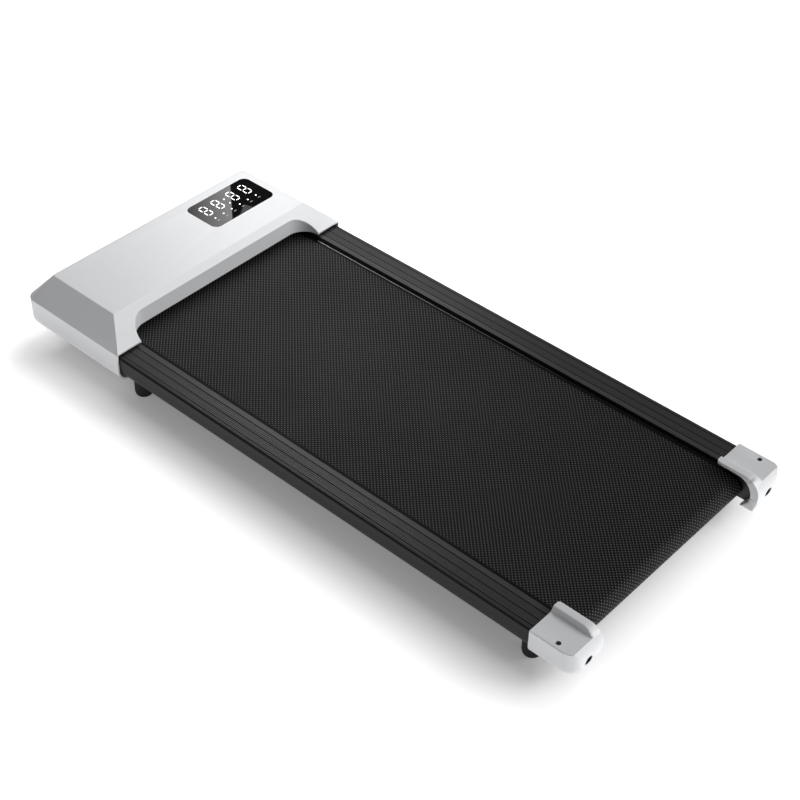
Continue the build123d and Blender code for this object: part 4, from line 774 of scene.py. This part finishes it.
def glowing(name, colour, strength):
    """A lit surface with a faint grain"""
    material, tree, output = start_material(name)
    grain = noise(tree, object_place(tree), scale=700.0)
    shade = varied(tree, grain, colour, low=0.94, high=1.0)
    principled(tree, output, {
        "Base Color": shade, "Emission Color": shade, "Emission Strength": strength, "Roughness": 0.4,
    })
    return material


def window_material(colours):
    """Gloss black window with the faintest waviness"""
    material, tree, output = start_material("gloss_black_window")
    clouds = noise(tree, object_place(tree), scale=40.0)
    principled(tree, output, {
        "Base Color": varied(tree, clouds, colours.lens, low=1.0, high=1.3),
        "Roughness": wandering(tree, clouds, low=0.004, high=0.012),
        "Normal": grained(tree, clouds, strength=0.02, millimetres=0.002),
        "Specular IOR Level": 0.08,
    })
    return material


def stroke_outline(start, end, width):
    """A bar with pointed ends between two places"""
    along = (Vector(end) - Vector(start)).normalized()
    side = Vector((-along.y, along.x)) * width / 2
    tip = along * width / 2
    first = Vector(start)
    last = Vector(end)
    return [first, first + tip - side, last - tip - side, last, last - tip + side, first + tip + side]


def digit_strokes(middle_y, top_x, height, width, gap):
    """The seven strokes of a lit figure eight that reads across the pad"""
    left = middle_y - width / 2
    right = middle_y + width / 2
    half_x = top_x + height / 2
    bottom_x = top_x + height
    strokes = []
    for x in (top_x, half_x, bottom_x):
        strokes.append(((x, left + gap), (x, right - gap)))
    for y in (left, right):
        strokes.append(((top_x + gap, y), (half_x - gap, y)))
        strokes.append(((half_x + gap, y), (bottom_x - gap, y)))
    return strokes


def film_outline(sizes):
    """The window's film, which laps over the hood by a margin, with round corners"""
    corner = sizes.film_corner
    low_x = lens_low.x - sizes.film_margin_x + corner
    high_x = lens_high.x + sizes.film_margin_x - corner
    low_y = lens_low.y - sizes.film_margin_y + corner
    high_y = lens_high.y + sizes.film_margin_y - corner
    outline = []
    steps = 10
    for turn, (x, y) in enumerate(((high_x, high_y), (low_x, high_y), (low_x, low_y), (high_x, low_y))):
        for step in range(steps + 1):
            angle = (turn + step / steps) * QUARTER_TURN
            outline.append((x + corner * math.cos(angle), y + corner * math.sin(angle)))
    return outline


class WALKINGPAD_OT_display(bpy.types.Operator):
    """Makes the gloss window and its lit digits, lamps and marks, whose places are in millimetres"""

    bl_idname = "walking_pad.display"
    bl_label = "Display"

    digit_places = (-47.5, -19.5, 16.0, 45.0)
    digit_top = 25
    stroke_gap = 2.2
    colon_places = (-14.8, 0.4)
    colon_shift = 1.3
    dot_radius = 1.5
    lamp_count = 6
    lamp_spacing = 19.3
    lamp_shift = 2
    lamp_place = 15.6
    mark_place = 24.2
    mark_length = 5
    mark_width = 1.6
    digit_glow = 1.6
    mark_shade = 0.35
    mark_glow = 0.35

    def digits(self, sizes, middle, low, high):
        """Plates of the lit figures and the colon between them"""
        points, faces = [], []
        top_x = middle.x - self.digit_top * MILLIMETRE
        height = sizes.digit_height - sizes.stroke
        width = sizes.digit_width - sizes.stroke
        gap = sizes.stroke / 2 * self.stroke_gap
        for place in self.digit_places:
            for start, end in digit_strokes(middle.y + place * MILLIMETRE, top_x, height, width, gap):
                slab(points, faces, stroke_outline(start, end, sizes.stroke), low, high)
        colon_y = middle.y - self.colon_shift * MILLIMETRE
        for place in self.colon_places:
            dot = circle_outline(middle.x + place * MILLIMETRE, colon_y, self.dot_radius * MILLIMETRE)
            slab(points, faces, dot, low, high)
        return points, faces

    def lamp_columns(self, middle):
        """Places of the lamps and marks across the window"""
        for index in range(self.lamp_count):
            step = index - (self.lamp_count - 1) / 2
            yield middle.y + step * self.lamp_spacing * MILLIMETRE - self.lamp_shift * MILLIMETRE

    def lamps(self, middle, low, high):
        """Plates of the round lamps"""
        points, faces = [], []
        x = middle.x + self.lamp_place * MILLIMETRE
        for y in self.lamp_columns(middle):
            slab(points, faces, circle_outline(x, y, self.dot_radius * MILLIMETRE), low, high)
        return points, faces

    def marks(self, middle, low, high):
        """Plates of the marks beside the lamps"""
        points, faces = [], []
        x = middle.x + self.mark_place * MILLIMETRE
        for y in self.lamp_columns(middle):
            mark = bar_outline(x, y, self.mark_length * MILLIMETRE, self.mark_width * MILLIMETRE)
            slab(points, faces, mark, low, high)
        return points, faces

    def execute(self, context):
        colours = context.scene.walking_pad_colours
        sizes = context.scene.walking_pad_sizes
        gloss_black = window_material(colours)
        dress(gloss_black, "display_lens")
        middle = (lens_low + lens_high) / 2
        low = hood_high.z + sizes.print_height / 2
        high = low + sizes.print_height
        film, film_faces = [], []
        slab(film, film_faces, film_outline(sizes), hood_high.z, low)
        mesh_piece("display_film", film, film_faces, gloss_black, "frame", "display_window")
        bright = glowing("lit_digit", colours.light, self.digit_glow)
        digits = self.digits(sizes, middle, low, high)
        mesh_piece("display_digits", *digits, bright, "frame", "display_window")
        mesh_piece("display_lamps", *self.lamps(middle, low, high), bright, "frame", "display_window")
        dim = glowing("dim_mark", shaded(colours.light, self.mark_shade), self.mark_glow)
        mesh_piece("display_marks", *self.marks(middle, low, high), dim, "frame", "display_window")
        return {"FINISHED"}


# Steel, alloy, plastic and rubber


class WALKINGPAD_OT_frame_steel(bpy.types.Operator):
    """Powder coats the steel frame"""

    bl_idname = "walking_pad.frame_steel"
    bl_label = "Frame steel"

    def execute(self, context):
        coat = finish(
            "powder_coated_steel", (0.018, 0.018, 0.019), roughness=0.5, spread=0.06,
            cloud_scale=20.0, grain_scale=1100.0, grain_height=0.05, variation=0.15, wear=2.2,
        )
        dress(coat, "left_frame_tube", "right_frame_tube", "left_side_plate", "right_side_plate",
              "deck_beams", "bay_beams", "tube_end_plates", "wheel_brackets", "motor_bracket",
              "motor_saddle", "motor_can", "tension_bolts", "cap_screws")
        return {"FINISHED"}


class WALKINGPAD_OT_bright_steel(bpy.types.Operator):
    """Gives rollers and axles a bright turned finish and fasteners a dark zinc one"""

    bl_idname = "walking_pad.bright_steel"
    bl_label = "Bright steel"

    def execute(self, context):
        steel = finish(
            "turned_bright_steel", (0.55, 0.55, 0.56), roughness=0.32, spread=0.08, metallic=1.0,
            cloud_scale=60.0, grain_scale=900.0, grain_height=0.02, variation=0.08, wear=1.2,
            stretch=(1, 12, 1),
        )
        dress(steel, "front_roller", "rear_roller", "front_bearings", "rear_bearings", "front_axle",
              "rear_axle", "wheel_axles", "motor_armature")
        zinc = finish(
            "dark_zinc_fastener", (0.12, 0.12, 0.125), roughness=0.4, spread=0.08, metallic=1.0,
            cloud_scale=120.0, grain_scale=1500.0, grain_height=0.02, variation=0.12, wear=1.6,
        )
        dress(zinc, "plate_bolts", "rail_screws", "deck_screws", "axle_bolts",
              "motor_screws", "foot_screws", "hood_screws", "sensor_magnet")
        return {"FINISHED"}


class WALKINGPAD_OT_cast_alloy(bpy.types.Operator):
    """Gives the motor's end bells, pulleys and heat sink a cast finish"""

    bl_idname = "walking_pad.cast_alloy"
    bl_label = "Cast alloy"

    def execute(self, context):
        alloy = finish(
            "cast_alloy", (0.42, 0.42, 0.43), roughness=0.48, spread=0.08, metallic=1.0,
            cloud_scale=50.0, grain_scale=700.0, grain_height=0.06, variation=0.1, wear=1.25,
        )
        dress(alloy, "motor_end_bells", "drive_pulley", "motor_pulley", "heat_sink")
        return {"FINISHED"}


class WALKINGPAD_OT_black_plastic(bpy.types.Operator):
    """Gives the moulded black pieces a fine eroded grain and the leads a smoother sheath"""

    bl_idname = "walking_pad.black_plastic"
    bl_label = "Black plastic"

    def execute(self, context):
        dress(black_plastic(), "belly_pan", "motor_fan", "controller_tray", "power_panel", "power_inlet",
              "switch_frame", "power_switch", "speed_sensor")
        sheath = finish(
            "lead_sheath", (0.02, 0.02, 0.021), roughness=0.5, spread=0.05,
            cloud_scale=60.0, grain_scale=1200.0, grain_height=0.03, variation=0.12, wear=1.3,
        )
        dress(sheath, "motor_leads", "display_cable", "power_leads", "sensor_lead")
        return {"FINISHED"}


class WALKINGPAD_OT_rubber(bpy.types.Operator):
    """Gives feet, wheels, cushions and the drive belt a matt rubber finish"""

    bl_idname = "walking_pad.rubber"
    bl_label = "Rubber"

    def execute(self, context):
        rubber = finish(
            "matt_rubber", context.scene.walking_pad_colours.rubber, roughness=0.7, spread=0.08,
            cloud_scale=35.0, grain_scale=1000.0, grain_height=0.08, variation=0.18, wear=1.8, specular=0.35,
        )
        dress(rubber, "rubber_feet", "left_transport_wheel", "right_transport_wheel",
              "deck_cushions", "drive_belt")
        return {"FINISHED"}


# Deck and circuit boards


def deck_strips(sizes):
    """Two thin flat strips on the deck's edges beside the belt"""
    points, faces = [], []
    inner = belt_high.y + sizes.strip_space
    outer = deck_high.y
    for side in (-1, 1):
        y = side * (inner + outer) / 2
        middle_x = (hood_high.x + cap_low.x) / 2
        plan = bar_outline(middle_x, y, outer - inner, cap_low.x - hood_high.x)
        slab(points, faces, plan, deck_high.z, deck_high.z + sizes.strip_height)
    return points, faces


def strip_material(colours):
    """Satin aluminium with a painted highlight, bright beside the hood and fading to near black towards the
    rear
    """
    highlight_length = 0.55
    faded_highlight_shade = 0.03
    material, tree, output = start_material("satin_aluminium_strip")
    place = object_place(tree)
    clouds = noise(tree, object_place(tree, stretch=(0.1, 1, 1)), scale=300.0)
    along = put(tree, "SeparateXYZ", {"Vector": place}).outputs["X"]
    # Painted highlight that fades towards the rear
    highlight_fade = rising(tree, along, start=hood_high.x, end=hood_high.x + highlight_length)
    bright = varied(tree, clouds, colours.strip, low=0.9, high=1.0)
    principled(tree, output, {
        "Base Color": blended(tree, highlight_fade, bright, solid(shaded(colours.strip, faded_highlight_shade))),
        "Roughness": wandering(tree, clouds, low=0.45, high=0.55),
        "Metallic": 0.2,
        "Normal": grained(tree, clouds, strength=0.2, millimetres=0.02),
    })
    return material


class WALKINGPAD_OT_deck(bpy.types.Operator):
    """Gives the deck board its dark fibre and edge strips with a painted highlight, and the boards their
    green lacquer
    """

    bl_idname = "walking_pad.deck"
    bl_label = "Deck and circuit boards"

    def execute(self, context):
        colours = context.scene.walking_pad_colours
        sizes = context.scene.walking_pad_sizes
        fibre = finish(
            "dark_pressed_fibre", (0.03, 0.026, 0.023), roughness=0.6, spread=0.08, stretch=(0.2, 1, 1),
            cloud_scale=90.0, grain_scale=1500.0, grain_height=0.06, variation=0.25, wear=1.3,
        )
        dress(fibre, "running_deck")
        mesh_piece("deck_edge_strips", *deck_strips(sizes), strip_material(colours), "frame", "bright_steel")
        lacquer = finish(
            "green_board_lacquer", (0.012, 0.07, 0.03), roughness=0.35, spread=0.06,
            cloud_scale=70.0, grain_scale=1600.0, grain_height=0.03, variation=0.2, wear=1.3,
        )
        dress(lacquer, "display_board", "controller_board")
        return {"FINISHED"}


# Studio


def area_light(name, power, place, target, size):
    """A soft rectangular light that faces its target and isn't seen itself"""
    data = bpy.data.lights.new(name, "AREA")
    data.shape = "RECTANGLE"
    data.size, data.size_y = size
    data.energy = power
    lamp = bpy.data.objects.new(name, data)
    lamp.location = place
    aim = Vector(target) - Vector(place)
    lamp.rotation_euler = aim.to_track_quat("-Z", "Y").to_euler()
    lamp.visible_camera = False
    bpy.context.scene.collection.objects.link(lamp)


def floor_material(colours, stage):
    """Pale floor lit from below by its own glow, which is dimmed near the pad as a painted shadow and turns
    white away from it
    """
    fading_power = 2.5
    material, tree, output = start_material("pale_floor")
    place = object_place(tree)
    clouds = noise(tree, place, scale=3.0)
    shade = varied(tree, clouds, colours.floor, low=0.995, high=1.0)
    mirrored = put(tree, "VectorMath", {0: place}, operation="ABSOLUTE").outputs["Vector"]
    pad_side = cad_box[1][1]
    shadow = (stage.shadow_reach, pad_side, 0)
    beyond = put(tree, "VectorMath", {0: mirrored, 1: shadow}, operation="SUBTRACT").outputs["Vector"]
    outside = put(tree, "VectorMath", {0: beyond, 1: (0, 0, 0)}, operation="MAXIMUM").outputs["Vector"]
    away = put(tree, "VectorMath", {0: outside}, operation="LENGTH").outputs["Value"]
    # Painted shadow: the glow falls from the far glow to the glow by the pad
    near = ranged(tree, away, 0.0, stage.glow_end, 1.0, 0.0)
    painted_shadow_falloff = put(tree, "Math", {0: near, 1: fading_power}, operation="POWER").outputs["Value"]
    principled(tree, output, {
        "Base Color": shade,
        "Roughness": 0.75,
        "Specular IOR Level": 0.2,
        "Emission Color": shade,
        "Emission Strength": ranged(tree, painted_shadow_falloff, 0.0, 1.0, stage.far_glow, stage.glow),
    })
    return material


def make_floor(stage, colours):
    """A wide square floor at the height of the feet"""
    half = stage.floor_size / 2
    corners = [(-half, -half, 0), (half, -half, 0), (half, half, 0), (-half, half, 0)]
    mesh = bpy.data.meshes.new("studio_floor")
    mesh.from_pydata(corners, [], [(0, 1, 2, 3)])
    mesh.materials.append(floor_material(colours, stage))
    floor = bpy.data.objects.new("studio_floor", mesh)
    bpy.context.scene.collection.objects.link(floor)


def make_camera(stage):
    """The camera that stands where the photograph was taken from"""
    data = bpy.data.cameras.new("photo_camera")
    data.lens = stage.focal_length
    camera = bpy.data.objects.new("photo_camera", data)
    right = Vector((math.cos(stage.azimuth), math.sin(stage.azimuth), 0))
    back = Vector((
        math.sin(stage.azimuth) * math.cos(stage.elevation),
        -math.cos(stage.azimuth) * math.cos(stage.elevation),
        math.sin(stage.elevation),
    ))
    up = back.cross(right)
    across = right * math.cos(stage.roll) + up * math.sin(stage.roll)
    upward = up * math.cos(stage.roll) - right * math.sin(stage.roll)
    turn = Matrix((across, upward, back)).transposed().to_4x4()
    place = Vector(stage.target) + back * stage.distance
    camera.matrix_world = Matrix.Translation(place) @ turn
    bpy.context.scene.collection.objects.link(camera)
    bpy.context.scene.camera = camera


def card_material(stage):
    """Light that fades from the card's edge to its far side"""
    material, tree, output = start_material("window_card")
    glow = put(tree, "Attribute", attribute_name="glow").outputs["Fac"]
    strength = ranged(tree, glow, 0.0, 1.0, 0.0, stage.card)
    shader = put(tree, "Emission", {"Color": WHITE, "Strength": strength})
    tree.links.new(shader.outputs["Emission"], output.inputs["Surface"])
    return material


def make_card(stage, edge_start, edge_end, width, reach):
    """A card that shows only in the window: from the camera, its edge falls on a line across the window"""
    bright_edge_first = (1.0, 1.0, 0.0, 0.0)
    centre = (lens_low + lens_high) / 2
    centre.z = lens_high.z
    eye = bpy.context.scene.camera.matrix_world.translation
    mirrored = Vector((eye.x, eye.y, 2 * centre.z - eye.z))
    start = centre + Vector((*edge_start, 0)) * MILLIMETRE
    end = centre + Vector((*edge_end, 0)) * MILLIMETRE
    along = end - start
    overrun = along / 2
    outward = Vector((along.y, -along.x, 0)).normalized() * width * MILLIMETRE
    seen = (start - overrun, end + overrun, end + overrun + outward, start - overrun + outward)
    mesh = bpy.data.meshes.new("window_card")
    mesh.from_pydata([mirrored + (corner - mirrored) * reach for corner in seen], [], [(0, 1, 2, 3)])
    mesh.attributes.new("glow", "FLOAT", "POINT").data.foreach_set("value", bright_edge_first)
    mesh.materials.append(card_material(stage))
    card = bpy.data.objects.new("window_card", mesh)
    card.visible_camera = False
    card.visible_diffuse = False
    card.visible_shadow = False
    bpy.context.scene.collection.objects.link(card)


def make_sky(stage):
    """A white sky that is bright on one side"""
    world = bpy.data.worlds.new("studio_sky")
    world.use_nodes = True
    tree = world.node_tree
    background = tree.nodes["Background"]
    background.inputs["Color"].default_value = WHITE
    toward = put(tree, "TexCoord").outputs["Generated"]
    facing = put(tree, "VectorMath", {0: toward, 1: stage.sky_side}, operation="DOT_PRODUCT").outputs["Value"]
    strength = ranged(tree, facing, 0.0, 1.0, stage.sky_dark, stage.sky)
    tree.links.new(strength, background.inputs["Strength"])
    bpy.context.scene.world = world


class WALKINGPAD_OT_stage(bpy.types.Operator):
    """Sets up the pale floor, the soft lights, the camera and the card, whose edge is in millimetres"""

    bl_idname = "walking_pad.stage"
    bl_label = "Studio"

    card_edge_start = (-38.0, 36.0)
    card_edge_end = (35.0, -29.0)
    card_width = 100.0
    card_reach = 1.7

    def execute(self, context):
        stage = context.scene.walking_pad_stage
        make_floor(stage, context.scene.walking_pad_colours)
        make_camera(stage)
        make_sky(stage)
        make_card(stage, self.card_edge_start, self.card_edge_end, self.card_width, self.card_reach)
        area_light(
            "hood_light", stage.hood_light, place=(-0.6, 0.45, 0.75), target=(-0.46, 0, 0), size=(0.6, 0.6)
        )
        area_light("rear_light", stage.rear_light, place=(4.2, 3.0, 2.6), target=(0, 0, 0), size=(3.0, 2.0))
        area_light(
            "near_light", stage.near_light, place=(-0.1, -1.2, 0.65), target=(0, 0, 0), size=(1.2, 0.6)
        )
        context.scene.view_settings.view_transform = "Standard"
        return {"FINISHED"}


# Panel and registration

piece_operators = (
    WALKINGPAD_OT_shell,
    WALKINGPAD_OT_rails,
    WALKINGPAD_OT_belt,
    WALKINGPAD_OT_cap_trim,
    WALKINGPAD_OT_display,
    WALKINGPAD_OT_frame_steel,
    WALKINGPAD_OT_bright_steel,
    WALKINGPAD_OT_cast_alloy,
    WALKINGPAD_OT_black_plastic,
    WALKINGPAD_OT_rubber,
    WALKINGPAD_OT_deck,
    WALKINGPAD_OT_stage,
)


class WALKINGPAD_PT_panel(bpy.types.Panel):
    """Lists the sizes and colours, and the steps that dress the walking pad"""

    bl_idname = "WALKINGPAD_PT_panel"
    bl_label = "Walking pad"
    bl_space_type = "VIEW_3D"
    bl_region_type = "UI"
    bl_category = "Walking pad"

    def draw(self, context):
        for group in ("walking_pad_colours", "walking_pad_sizes", "walking_pad_stage"):
            values = getattr(context.scene, group)
            box = self.layout.box()
            for name in values.__annotations__:
                box.prop(values, name)
        for operator in piece_operators:
            self.layout.operator(operator.bl_idname)


groups = (WalkingPadColours, WalkingPadSizes, WalkingPadStage)
classes = groups + piece_operators + (WALKINGPAD_PT_panel,)


def register():
    for entry in classes:
        bpy.utils.register_class(entry)
    bpy.types.Scene.walking_pad_colours = PointerProperty(type=WalkingPadColours)
    bpy.types.Scene.walking_pad_sizes = PointerProperty(type=WalkingPadSizes)
    bpy.types.Scene.walking_pad_stage = PointerProperty(type=WalkingPadStage)


def unregister():
    del bpy.types.Scene.walking_pad_stage
    del bpy.types.Scene.walking_pad_sizes
    del bpy.types.Scene.walking_pad_colours
    for entry in reversed(classes):
        bpy.utils.unregister_class(entry)


def main():
    register()
    for operator in piece_operators:
        group, name = operator.bl_idname.split(".")
        getattr(getattr(bpy.ops, group), name)()


if __name__ == "__main__":
    main()
